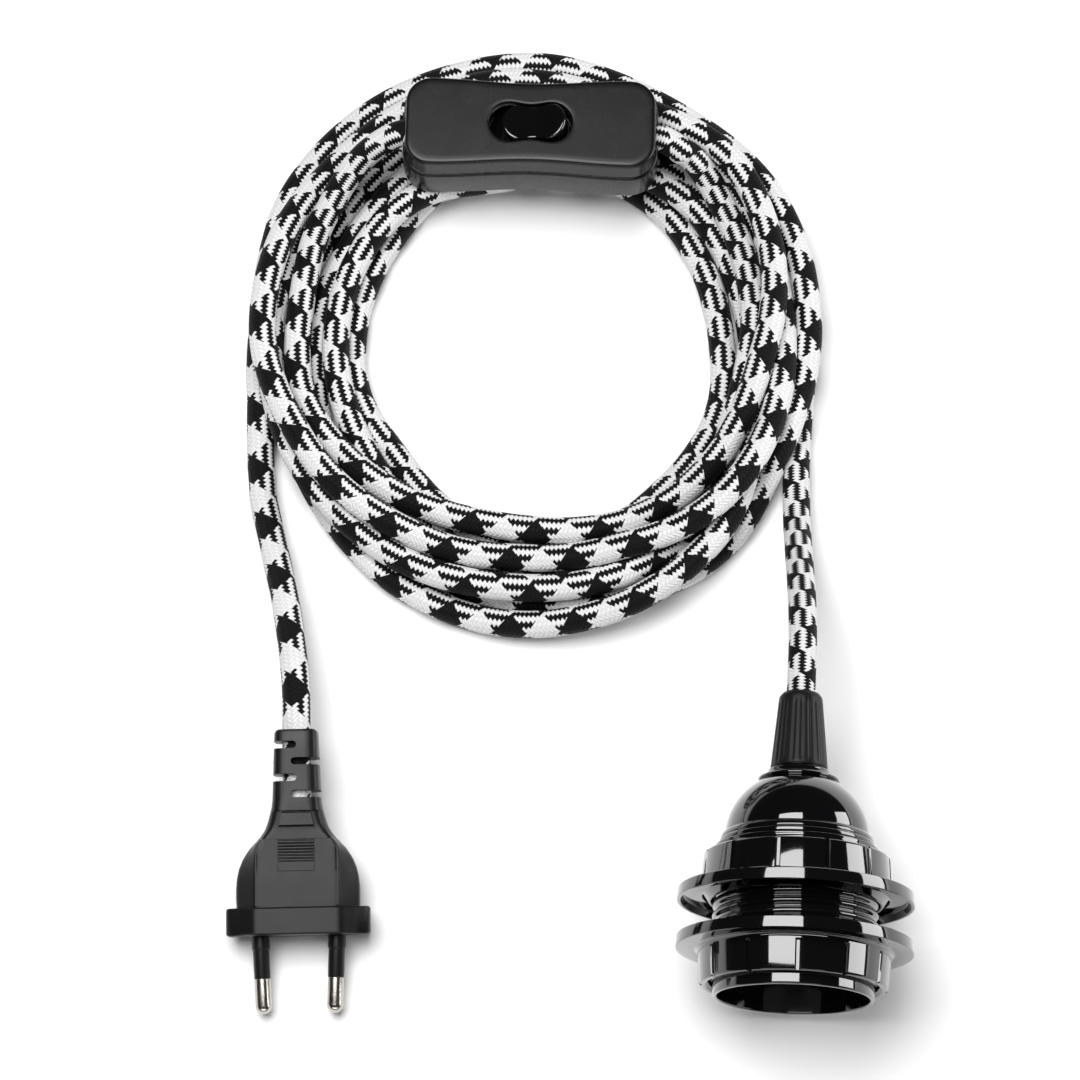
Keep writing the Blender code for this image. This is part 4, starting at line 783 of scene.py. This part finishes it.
def skirt_threads(radius, station, turn):
    outer = station / THREAD_PITCH - turn / (2 * np.pi)
    ends = along_between(station, NOSE_LENGTH + 1.0, NOSE_LENGTH + 3.5)
    ends = ends * along_between(-station, -SKIRT_LENGTH + 0.4, -SKIRT_LENGTH + 2.0)
    wave = (0.5 - 0.5 * np.cos(2 * np.pi * outer)) ** 1.3
    change = np.where(np.abs(radius - SKIRT_RADIUS) < 1e-6, -THREAD_DEPTH * wave * ends, 0.0)
    inner = station / LAMP_PITCH - turn / (2 * np.pi)
    ends = along_between(station, MOUTH_DEPTH + 0.6, MOUTH_DEPTH + 3.0)
    ends = ends * along_between(-station, -SLEEVE_TOP + 0.4, -SLEEVE_TOP + 2.5)
    wave = 0.5 - 0.5 * np.cos(2 * np.pi * inner)
    return change + np.where(np.abs(radius - SLEEVE_BORE) < 1e-6, -LAMP_DEPTH * wave * ends, 0.0)


skirt_profile = eased([
    (SKIRT_RADIUS, SKIRT_LENGTH, 0.3),
    (SKIRT_RADIUS, NOSE_LENGTH + 0.6, 0.3),
    (NOSE_RADIUS, NOSE_LENGTH, 0.3),
    (NOSE_RADIUS, 0.0, 0.55),
    (MOUTH_RADIUS, 0.0, 0.4),
    (MOUTH_RADIUS, MOUTH_DEPTH, 0.6),
    (SLEEVE_BORE, MOUTH_DEPTH, 0.5),
    (SLEEVE_BORE, SLEEVE_TOP, 0.3),
    (SLEEVE_BORE + SLEEVE_WALL, SLEEVE_TOP, 0.3),
    (SLEEVE_BORE + SLEEVE_WALL, WEB_TOP, 0.3),
    (SKIRT_RADIUS - SKIRT_WALL, WEB_TOP, 0.3),
    (SKIRT_RADIUS - SKIRT_WALL, SKIRT_LENGTH, 0.3),
])
skirt_profile = finer(finer(skirt_profile, SKIRT_RADIUS, 0.2), SLEEVE_BORE, 0.3)
skirt_loops = turned_loops(skirt_profile, even_angles(TURNED_SIDES), skirt_threads)
skirt = bare("lamp_skirt", lofted(skirt_loops, True), holder_place)
finish_piece(skirt, "base", "gloss_black", ["holder_skirt"], 50.0)


def sector_angles(first):
    """Angles round a ring, close together at the edges of its twelve grooves."""
    edge = GROOVE_HALF + GROOVE_EDGE * np.array([-1.0, -0.5, 0.0, 0.5, 1.0])
    land = np.linspace(GROOVE_HALF + 2 * GROOVE_EDGE, SECTOR - GROOVE_HALF - 2 * GROOVE_EDGE, 12)
    one = np.concatenate([[0.0], edge, land, SECTOR - edge[::-1]])
    return np.concatenate([first + SECTOR * index + one for index in range(12)])


def shade_ring(name, node, body, station, direction, first_groove):
    profile = eased([
        (COLLAR_TIP, RING_HEIGHT, 0.7),
        (COLLAR_ROOT - 0.05, FLANGE_THICKNESS + 1.6, 0.0),
        (COLLAR_ROOT, FLANGE_THICKNESS + 1.2, 0.0),
        (COLLAR_ROOT, FLANGE_THICKNESS + 0.7, 0.4),
        (COLLAR_ROOT + 0.7, FLANGE_THICKNESS, 0.4),
        (FLANGE_RADIUS, FLANGE_THICKNESS, 0.45),
        (FLANGE_RADIUS, 0.0, 0.3),
        (FLANGE_RADIUS - 0.9, 0.0, 0.25),
        (FLANGE_RADIUS - 1.4, DISH, 0.3),
        (COLLAR_TIP, DISH, 0.4),
        (COLLAR_TIP - DISH, 0.0, 0.4),
        (RING_BORE, 0.0, 0.3),
        (RING_BORE, RING_HEIGHT - 0.8, 0.0),
        (RING_BORE + 0.8, RING_HEIGHT, 0.2),
    ])

    def grooves(radius, height, turn):
        off = np.abs((turn - first_groove + SECTOR / 2) % SECTOR - SECTOR / 2)
        sunk = 1 - along_between(off, GROOVE_HALF - GROOVE_EDGE, GROOVE_HALF + GROOVE_EDGE)
        outer = (radius > COLLAR_TIP - 0.8) & (height > FLANGE_THICKNESS + 1.4)
        reach = along_between(radius, COLLAR_TIP - 0.8, COLLAR_TIP)
        return np.where(outer, -GROOVE_DEPTH * sunk * reach, 0.0)

    loops = turned_loops(profile, sector_angles(first_groove), grooves)
    loops[:, :, 1] = station + direction * loops[:, :, 1]
    ring = bare(name, lofted(loops, True), holder_place)
    finish_piece(ring, body, "gloss_black", [node])


shade_ring("ring_above_shade", "shade_ring_upper", "ring_upper", UPPER_RING, 1.0, UPPER_GROOVE)
shade_ring("ring_below_shade", "shade_ring_lower", "ring_lower", LOWER_RING, -1.0, LOWER_GROOVE)

CAP_RIM = SKIRT_LENGTH + 0.3
BEAD_TOP = CAP_RIM + 2.7
DOME_RADIUS = 17.5
CAP_NECK = SKIRT_LENGTH + 19.1
CAP_TOP = CAP_NECK + 2.1
CAP_WALL = 2.0
CAP_BORE = 5.35
CAP_LIP = 4.6
LIP_BORE = 17.3
BEAD_RADIUS = 18.9
NECK_RADIUS = 6.1
CROWN_RADIUS = 9.2
COLLAR_RADIUS = 9.9
CEILING_RADIUS = 7.2
NUT_SKIRT = 1.5
NUT_BORE = 6.25
CORD_PASS = 3.75
GRIP_BOTTOM = CAP_TOP + 0.3


def dome_points(radius, height, opening, count):
    """The dome from the edge of its opening down to its rim."""
    turns = np.linspace(math.asin(opening / radius), math.pi / 2, count)
    return [(radius * math.sin(turn), BEAD_TOP + height * math.cos(turn), 0.0) for turn in turns]


dome_height = CAP_NECK - BEAD_TOP
outer_dome = dome_points(DOME_RADIUS, dome_height, CROWN_RADIUS, 28)
inner_dome = dome_points(DOME_RADIUS - CAP_WALL, dome_height - CAP_WALL, CEILING_RADIUS, 10)
dome_crown = outer_dome[0][1]
cap_profile = eased([
    (CAP_BORE, CAP_TOP, 0.2),
    (NECK_RADIUS, CAP_TOP, 0.2),
    (NECK_RADIUS, CAP_TOP - NUT_SKIRT - 0.15, 0.1),
    (7.5, CAP_TOP - NUT_SKIRT - 0.15, 0.4),
    (7.6, CAP_TOP - NUT_SKIRT - 0.9, 0.3),
    (8.0, dome_crown + 1.1, 0.8),
    (COLLAR_RADIUS, dome_crown + 0.75, 0.3),
    (COLLAR_RADIUS, dome_crown + 0.2, 0.25),
    (CROWN_RADIUS, dome_crown, 0.15),
    *outer_dome[1:-1],
    (DOME_RADIUS, BEAD_TOP + 0.3, 0.3),
    (18.4, BEAD_TOP - 0.1, 0.35),
    (18.6, BEAD_TOP - 1.1, 0.25),
    (18.35, BEAD_TOP - 1.35, 0.1),
    (BEAD_RADIUS, BEAD_TOP - 1.6, 0.3),
    (BEAD_RADIUS, CAP_RIM, 0.35),
    (LIP_BORE, CAP_RIM, 0.2),
    (LIP_BORE, CAP_RIM - CAP_LIP, 0.2),
    (DOME_RADIUS - CAP_WALL, CAP_RIM - CAP_LIP, 0.2),
    *inner_dome[::-1],
    (CEILING_RADIUS, CAP_NECK - CAP_WALL, 0.0),
    (CAP_BORE, CAP_NECK - CAP_WALL, 0.2),
])
cap_loops = turned_loops(cap_profile, even_angles(TURNED_SIDES))
cap = bare("holder_dome", lofted(cap_loops, True), holder_place)
finish_piece(cap, "base", "gloss_black", ["holder_cap"], 40.0)

GRIP_SIDES = 240
GRIP_FLUTES = 20
FLUTE_WIDTH = 0.18
FLUTE_DEPTH = 0.18
GRIP_LOW_RADIUS = 6.85
GRIP_HIGH_RADIUS = 5.2


def flutes(radius, station, turn):
    off = (turn * GRIP_FLUTES / (2 * np.pi) + 0.5) % 1.0 - 0.5
    valley = np.exp(-(off / FLUTE_WIDTH) ** 2)
    reach = along_between(station, GRIP_BOTTOM - 0.9, GRIP_BOTTOM - 0.2)
    reach = reach * along_between(-station, -HOLDER_LENGTH + 2.2, -HOLDER_LENGTH + 3.2)
    outside = along_between(radius, 4.9, 5.0)
    return -FLUTE_DEPTH * valley * reach * outside


grip_taper = GRIP_HIGH_RADIUS - GRIP_LOW_RADIUS
grip_side = [
    (GRIP_LOW_RADIUS + grip_taper * t, GRIP_BOTTOM + (HOLDER_LENGTH - GRIP_BOTTOM) * t, 0.0)
    for t in np.linspace(-0.03, 0.90, 24)
]
grip_profile = eased([
    (CAP_BORE, GRIP_BOTTOM, 0.1),
    (NUT_BORE, GRIP_BOTTOM, 0.1),
    (NUT_BORE, GRIP_BOTTOM - NUT_SKIRT, 0.1),
    (GRIP_LOW_RADIUS - 0.1, GRIP_BOTTOM - NUT_SKIRT, 0.0),
    (GRIP_LOW_RADIUS + 0.1, GRIP_BOTTOM - NUT_SKIRT + 0.4, 0.0),
    *grip_side,
    (GRIP_HIGH_RADIUS + 0.05, HOLDER_LENGTH - 1.0, 0.4),
    (GRIP_HIGH_RADIUS - 0.75, HOLDER_LENGTH, 0.3),
    (CORD_PASS, HOLDER_LENGTH, 0.2),
    (CORD_PASS, GRIP_BOTTOM + 10.4, 0.2),
    (CAP_BORE, GRIP_BOTTOM + 8.8, 0.2),
])
grip_loops = turned_loops(grip_profile, even_angles(GRIP_SIDES), flutes)
grip = bare("cord_grip_nut", lofted(grip_loops, True), holder_place)
finish_piece(grip, "base", "matt_black", ["cord_grip"], 40.0)

# Switch

COLUMNS = 256
SWITCH_WIDTH = 26.0
SWITCH_CORNER = 7.4
SWITCH_WAIST = 1.2
SWITCH_TOP = 17.0
SHOULDER = 10.6
WALL = 2.0
ROCKER_LENGTH = 16.6
ROCKER_WIDTH = 10.8
ROCKER_SHIFT = 1.5
OPENING_LENGTH = 21.4
OPENING_WIDTH = 12.4
PIVOT_LEVEL = 13.2
ROCKER_TILT = math.radians(9.0)
COVER_CEILING = 14.7
MIDDLE_INSET = 20.0
CORD_HOLE = 3.8
SCREW_SEAT = 2.2
SCREW_HOLE = 1.3
RIM_SIZES = (1.22, 1.15)


def waisted(inset):
    """The housing's plan: round corners, and long sides that bow inwards."""
    corner = SWITCH_CORNER - inset
    straight = SWITCH_LENGTH / 2 - SWITCH_CORNER
    reach = SWITCH_WIDTH / 2 - SWITCH_CORNER
    turn = np.linspace(0.0, np.pi / 2, 17)
    arc = np.stack([straight + corner * np.cos(turn), reach + corner * np.sin(turn)], 1)
    x = np.linspace(straight, -straight, 41)[1:-1]
    waist = SWITCH_WAIST * np.cos(x / straight * np.pi / 2) ** 2
    side = np.stack([x, SWITCH_WIDTH / 2 - inset - waist], 1)
    upper = np.concatenate([arc, side, arc[::-1] * (-1, 1)])
    return np.concatenate([upper, upper[::-1] * (1, -1)])


def lobed(length, width, waist=1.3):
    """A two-lobed plan: round ends and a narrower middle."""
    x = np.cos(np.linspace(0.0, np.pi, 81))
    across = np.sqrt(np.maximum(0.0, 1 - np.abs(x) ** 3.2))
    y = across * (width / 2 - waist * np.cos(x * np.pi / 2) ** 4)
    upper = np.stack([x * length / 2, y], 1)
    return np.concatenate([upper, upper[-2:0:-1] * (1, -1)])


outer_walk = even_line(np.vstack([waisted(0.0), waisted(0.0)[:1]]), 0.2)
outer_walk = outer_walk[np.linspace(0, len(outer_walk) - 1, COLUMNS, endpoint=False).astype(int)]
HOUSING_TURNS = np.arctan2(outer_walk[:, 1], outer_walk[:, 0])


def in_turns(outline, turns):
    """The outline's points in the given directions from its middle."""
    outline = even_line(np.vstack([outline, outline[:1]]), 0.15)
    angle = np.arctan2(outline[:, 1], outline[:, 0])
    order = np.argsort(angle)
    far = np.interp(turns, angle[order], np.linalg.norm(outline, axis=1)[order], period=2 * np.pi)
    return np.stack([far * np.cos(turns), far * np.sin(turns)], 1)


def level_loop(outline, height, turns=HOUSING_TURNS):
    points = in_turns(outline, turns)
    return np.column_stack([points, np.full(len(points), height)])


def rounded_levels(rows):
    """Loops of the housing's plan from rows of (inset, height, rounding)."""
    return [level_loop(waisted(inset), height) for inset, height in eased(rows, 4)]


def round_cutter(name, start, end, radius, place, sides=40):
    start = np.array(start, float)
    end = np.array(end, float)
    axis = (end - start) / np.linalg.norm(end - start)
    across = np.cross(axis, (0.3, 0.5, 0.81))
    across /= np.linalg.norm(across)
    other = np.cross(axis, across)
    turn = even_angles(sides)[:, None]
    ring = radius * (across * np.cos(turn) + other * np.sin(turn))
    return bare(name, lofted([start + ring, end + ring], False), place)


base_levels = rounded_levels([
    (MIDDLE_INSET, 0.0, 0.0),
    (0.0, 0.0, 1.0),
    (0.0, SHOULDER, 0.9),
    (WALL, SHOULDER, 0.2),
    (WALL, WALL, 0.3),
    (MIDDLE_INSET, WALL, 0.0),
])[1:-1]
housing_base = bare("switch_housing_base", lofted(base_levels, False), switch_place)
opening = lobed(OPENING_LENGTH, OPENING_WIDTH)
opening_rows = eased([
    (0.0, COVER_CEILING, 0.3),
    (0.0, SWITCH_TOP, 0.5),
    (1.0, SWITCH_TOP, 0.0),
    (1.0, COVER_CEILING, 0.0),
], 4)[:-2]
opening_levels = [level_loop(opening * (1 + inset / 9.0), height) for inset, height in opening_rows]
cover_levels = rounded_levels([
    (WALL + 0.4, SHOULDER + 0.2, 0.0),
    (0.35, SHOULDER + 0.2, 0.6),
    (0.55, SHOULDER + 1.6, 0.0),
    (0.7, SWITCH_TOP - 1.6, 0.0),
    (0.9, SWITCH_TOP, 1.9),
    (WALL + 1.2, SWITCH_TOP, 0.0),
    (WALL + 2.0, SWITCH_TOP, 0.0),
])
cover_levels += [level_loop(opening * size, SWITCH_TOP) for size in RIM_SIZES]
cover_levels += opening_levels[::-1]
cover_levels.append(level_loop(waisted(WALL + 0.4), COVER_CEILING))
housing_cover = bare("switch_housing_cover", lofted(cover_levels, True), switch_place)
for part in (housing_base, housing_cover):
    ends = ((-36, 0, CORD_LEVEL), (36, 0, CORD_LEVEL))
    carve(part, round_cutter("cord_hole", *ends, CORD_HOLE, switch_place))
for side in (-1, 1):
    seat = (side * 20.5, -side * 7.4)
    carve(housing_base, round_cutter("seat", (*seat, -1.0), (*seat, 1.4), SCREW_SEAT, switch_place))
    carve(housing_base, round_cutter("hole", (*seat, 1.0), (*seat, 3.0), SCREW_HOLE, switch_place))
finish_piece(housing_base, "base", "satin_black", ["switch_base"])
finish_piece(housing_cover, "base", "satin_black", ["switch_cover"])

ROCKER_TURNS = even_angles(128)
CREST = 4.6
VALLEY = 2.9
EDGE_INSET = 0.09
EDGE_DROP = 0.75


def rocker_place(vertices):
    tilted = vertices @ turn_matrix(-ROCKER_TILT, "Y").T
    return switch_place(tilted + (0.0, 0.0, PIVOT_LEVEL))


def rocker_loop(share, sunk):
    points = in_turns(lobed(ROCKER_LENGTH, ROCKER_WIDTH, 1.1), ROCKER_TURNS) * share
    climb = np.sin(np.abs(points[:, 0]) / (ROCKER_LENGTH / 2) * np.pi / 2) ** 1.6
    top = VALLEY + (CREST - VALLEY) * climb
    return np.column_stack([points[:, 0] + ROCKER_SHIFT, points[:, 1], top - sunk])


def rocker_edge(turn):
    """The rounded edge of the button, from its side to its top in a quarter turn."""
    return rocker_loop(1 - EDGE_INSET * (1 - math.cos(turn)), EDGE_DROP * (1 - math.sin(turn)))


PLATE_TOP = -1.6
PLATE_BOTTOM = -2.8
plate = lobed(OPENING_LENGTH + 1.0, OPENING_WIDTH + 0.8)
plate_rows = [
    (0.97, PLATE_BOTTOM), (1.0, PLATE_BOTTOM + 0.2), (1.0, PLATE_TOP - 0.2), (0.98, PLATE_TOP),
]
rocker_loops = [level_loop(plate * share, height, ROCKER_TURNS) for share, height in plate_rows]
rocker_root = rocker_loop(1.0, 0.0)
rocker_root[:, 2] = PLATE_TOP
rocker_loops.append(rocker_root)
rocker_loops += [rocker_edge(turn) for turn in np.linspace(0, np.pi / 2, 7)]
rocker_loops += [rocker_loop(share, 0.0) for share in np.linspace(0.87, 0.03, 18)]
rocker = bare("rocker_button", lofted(rocker_loops, False), rocker_place)
finish_piece(rocker, "rocker", "gloss_black", ["switch_rocker"], 45.0)

# Plug

PLUG_COLUMNS = 180
PLUG_TURNS_ROUND = even_angles(PLUG_COLUMNS)
FLANGE_DEPTH = 6.8
FLANGE_HALF = 17.65
FLANGE_FLAT = 10.5
FLANGE_TOP = 6.85
FLANGE_END = 2.7
BODY_FLAT = 10.0
NECK_STATION = 32.5
PANEL_END = 23.4
PIN_LENGTH = 19.0
PIN_RADIUS = 2.0
PIN_ROOT = 9.4
PIN_TIP = 8.65
PIN_SLEEVE = 10.4
CORE_RADIUS = 1.4
CORE_TOP = 3.0
SLEEVE_INSIDE = 1.45
SLEEVE_END = -PIN_SLEEVE + 0.05
SLOTS = ((1, 33.6, -1.2), (-1, 37.6, -0.2), (1, 41.6, -1.2), (-1, 45.7, -0.2))
SLOT_OUTER = 8.0
SLOT_HEIGHT = 1.8
RIB_HALF = 4.35
RIB_START = 15.6
RIB_END = 23.0
RIB_FOOT = 5.5
RIB_PLAIN = 2.2
RIB_WAVE = 0.74


def section(station, half, flat, top, end, corner):
    """A loop round the plug: flat faces, sloping sides and narrow ends."""
    outline = eased([
        (half, end, corner), (flat, top, corner), (-flat, top, corner), (-half, end, corner),
        (-half, -end, corner), (-flat, -top, corner), (flat, -top, corner), (half, -end, corner),
    ], 4)
    points = in_turns(outline, PLUG_TURNS_ROUND)
    return np.column_stack([points[:, 0], np.full(len(points), station), points[:, 1]])


def flange_section(station, inset):
    half = FLANGE_HALF - inset
    return section(station, half, FLANGE_FLAT - inset * 0.6, FLANGE_TOP - inset, FLANGE_END, 0.9)


BODY_HALVES = [
    (FLANGE_DEPTH, 15.1), (9.0, 15.2), (11.4, 15.2), (14.0, 15.0), (16.3, 14.5), (18.8, 13.5),
    (21.1, 12.0), (23.0, 10.2), (24.8, 8.6), (26.6, 7.6), (28.5, 7.0), (31.0, 6.3), (33.0, 6.0),
    (RELIEF_LENGTH, 5.3),
]
BODY_TOPS = [
    (0.0, 6.2), (23.3, 6.2), (23.5, 4.6), (26.2, 4.6), (30.2, 4.9), (30.4, 5.5), (33.2, 5.5),
    (RELIEF_LENGTH, 5.1),
]


def from_rows(rows, station):
    return float(np.interp(station, [row[0] for row in rows], [row[1] for row in rows]))


def body_section(station, inset=0.0):
    half = from_rows(BODY_HALVES, station) - inset
    share = along_between(station, PANEL_END, NECK_STATION)
    top = from_rows(BODY_TOPS, station) - inset
    flat = min(BODY_FLAT, half - 1.2 - 0.6 * share)
    return section(station, half, flat, top, 1.6 + 2.2 * share, 0.6 + 1.8 * share)


flange_rows = [(0.0, 0.6), (0.15, 0.25), (0.5, 0.0), (6.4, 0.0), (6.7, 0.2), (FLANGE_DEPTH, 0.5)]
plug_loops = [flange_section(station, inset) for station, inset in flange_rows]
body_stations = [
    FLANGE_DEPTH, 7.4, *np.linspace(8.5, 23.3, 16), 23.5, 24.2, 25.2, 26.2, 27.2, 28.2, 29.2, 30.2,
    30.4, 31.4, 32.3, 33.2, 35.0, 40.0, 46.0, 49.5,
]
plug_loops += [body_section(station) for station in body_stations]
plug_loops += [body_section(50.0, 0.15), body_section(50.4, 0.6)]
plug_shell = bare("plug_shell", lofted(plug_loops, False), plug_place)


def slot_outline(side, station, inner):
    """A slot in from the side, with a round inner end."""
    half = SLOT_HEIGHT / 2
    outline = [(SLOT_OUTER, station)]
    for turn in np.linspace(np.pi / 2, 3 * np.pi / 2, 9):
        across = inner + half + half * math.cos(turn)
        outline.append((across, station + half - half * math.sin(turn)))
    outline.append((SLOT_OUTER, station + SLOT_HEIGHT))
    return [(side * x, y) for x, y in outline]


def slab(outline, low, high):
    """A flat outline in the plug's plane, given thickness."""
    flat = np.array(outline)
    loops = [np.column_stack([flat, np.full(len(flat), height)]) for height in (low, high)]
    return lofted(loops, False)


def rectangle(half, start, end):
    return [(-half, start), (half, start), (half, end), (-half, end)]


def block_loop(station, half, low, high, taper=0.0):
    top = half - taper
    corners = [(-half, low), (half, low), (top, high), (-top, high)]
    return [(across, station, level) for across, level in corners]


for side, station, inner in SLOTS:
    slot = slab(slot_outline(side, station, inner), -9.0, 9.0)
    carve(plug_shell, bare("slot", slot, plug_place))
carve(plug_shell, round_cutter("bore", (0, 31.0, 0), (0, 53.0, 0), CORD_PASS, plug_place))
pocket = slab(rectangle(RIB_HALF + 0.25, RIB_START - 0.25, RIB_END + 0.25), 5.75, 7.5)
carve(plug_shell, bare("pocket", pocket, plug_place))
line, line_faces = slab(rectangle(0.18, 7.2, 23.9), 5.95, 7.5)
for place in (-BODY_FLAT, BODY_FLAT):
    carve(plug_shell, bare("line", (line + (place, 0.0, 0.0), line_faces), plug_place))
finish_piece(plug_shell, "base", "rubber_black", ["plug_body"], 28.0)

wedge_rows = [(26.5, 4.5, 5.3), (26.8, 4.4, 5.7), (29.7, 3.8, 5.7), (30.0, 3.7, 5.3)]
wedge_loops = [block_loop(station, half, 4.0, top, 0.2) for station, half, top in wedge_rows]
wedge = bare("plug_wedge", lofted(wedge_loops, False), plug_place)
finish_piece(wedge, "base", "rubber_black", [], 20.0)

rib_at = np.linspace(RIB_START, RIB_END, 90)
wave = np.abs(np.sin((rib_at - RIB_START - RIB_PLAIN) * np.pi / RIB_WAVE))
rib_levels = 6.02 + 0.22 * np.sqrt(np.where(rib_at > RIB_START + RIB_PLAIN, wave, 1.0))
rib_loops = [
    block_loop(station, RIB_HALF, RIB_FOOT, level) for station, level in zip(rib_at, rib_levels)
]
ribs = bare("plug_ribbed_pad", lofted(rib_loops, False), plug_place)
finish_piece(ribs, "base", "rubber_black", [], 40.0)


def pin_place(side):
    """Places a shape turned round its own Y axis on a pin, which leans inwards to its tip."""
    root = np.array((side * PIN_ROOT, 0.0, 0.0))
    tip = np.array((side * PIN_TIP, -PIN_LENGTH, 0.0))
    axis = (root - tip) / np.linalg.norm(root - tip)
    across = np.array((axis[1], -axis[0], 0.0))
    axes = np.stack([across, axis, (0.0, 0.0, 1.0)], axis=1)
    return lambda vertices: plug_place(root + vertices @ axes.T)


pin_rows = np.array([
    (CORE_RADIUS, CORE_TOP),
    (CORE_RADIUS, -PIN_SLEEVE),
    (PIN_RADIUS, -PIN_SLEEVE - 0.05),
    *[
        (PIN_RADIUS * math.cos(t), -PIN_LENGTH + PIN_RADIUS - PIN_RADIUS * math.sin(t))
        for t in np.linspace(0.0, np.pi / 2 - 0.05, 9)
    ],
])
sleeve_rows = eased([
    (SLEEVE_INSIDE, 1.0, 0.0),
    (2.2, 1.0, 0.0),
    (2.2, -3.1, 0.15),
    (PIN_RADIUS, -3.4, 0.15),
    (PIN_RADIUS, SLEEVE_END, 0.15),
    (SLEEVE_INSIDE, SLEEVE_END, 0.0),
])
pin_angles = even_angles(48)
pins = []
sleeves = []
for side, name in ((-1, "left"), (1, "right")):
    node = "plug_pin_" + name
    shape = lofted(turned_loops(pin_rows, pin_angles), False)
    pins.append(bare(node + "_metal", shape, pin_place(side)))
    finish_piece(pins[-1], "base", "nickel", [node], 40.0)
    shape = lofted(turned_loops(sleeve_rows, pin_angles), True)
    sleeves.append(bare("pin_sleeve_" + name, shape, pin_place(side)))
for sleeve in sleeves:
    finish_piece(sleeve, "base", "rubber_black", ["plug_pin_carrier"], 40.0)

# Pieces of the switch, gathered in one list

SWITCH_REPLACED = ("switch_base", "switch_cover", "switch_rocker")
SWITCH_GROUPS = (
    "switch_", "moving_", "line_", "load_", "neutral_",
    "cord_clamp_", "clamp_screw_", "case_screw_",
)
switch_pieces = [housing_base, housing_cover, rocker]
switch_pieces += [
    node for name, node in frame["nodes"].items()
    if name.startswith(SWITCH_GROUPS) and name not in SWITCH_REPLACED
]

# Floor, backdrop and light

FLOOR_SIZE = 6.0


def floor_material():
    nodes = Nodes("pale_floor")
    nodes.shade("Base Color", nodes.between(nodes.noise(3.0), 0.965, 0.98))
    nodes.shade("Roughness", 0.9)
    nodes.shade("Specular IOR Level", 0.1)
    return nodes.material


floor_mesh = bpy.data.meshes.new("floor")
floor_shape = bmesh.new()
bmesh.ops.create_grid(floor_shape, x_segments=1, y_segments=1, size=FLOOR_SIZE / 2)
floor_shape.to_mesh(floor_mesh)
floor_shape.free()
floor = add_object("floor", floor_mesh)
floor.location = (CAMERA_TARGET.x, CAMERA_TARGET.y, -0.0002)
floor_mesh.materials.append(floor_material())


def softbox(name, place, target, width, height, power):
    data = bpy.data.lights.new(name, "AREA")
    data.shape = "RECTANGLE"
    data.size = width
    data.size_y = height
    data.energy = power
    made = add_object(name, data)
    made.location = place
    made.rotation_euler = (Vector(place) - Vector(target)).to_track_quat("Z", "Y").to_euler()


softbox("key_top", (-0.27, 0.175, 0.93), (-0.27, 0.175, 0.0), 0.66, 0.65, 11.8)
softbox("fill_front", (-0.06, -0.85, 0.42), (-0.06, 0.05, 0.0), 1.0, 0.12, 2.5)
softbox("fill_right", (0.86, 0.24, 0.26), (0.0, 0.24, 0.0), 0.7, 0.4, 6.0)

WORLD_LOW = 0.5
WORLD_HIGH = 0.13
WORLD_EDGE = 0.18

world = bpy.data.worlds.new("studio")
world.use_nodes = True
world_tree = world.node_tree
world_shade = world_tree.nodes["Background"]
world_place = world_tree.nodes.new("ShaderNodeTexCoord")
world_height = world_tree.nodes.new("ShaderNodeSeparateXYZ")
world_tree.links.new(world_place.outputs["Generated"], world_height.inputs[0])
level = world_tree.nodes.new("ShaderNodeMapRange")
for index, value in enumerate((0.0, WORLD_EDGE, WORLD_LOW, WORLD_HIGH), 1):
    level.inputs[index].default_value = value
world_tree.links.new(world_height.outputs[2], level.inputs[0])
world_tree.links.new(level.outputs[0], world_shade.inputs["Strength"])
bpy.context.scene.world = world
bpy.context.scene.view_settings.view_transform = "Standard"
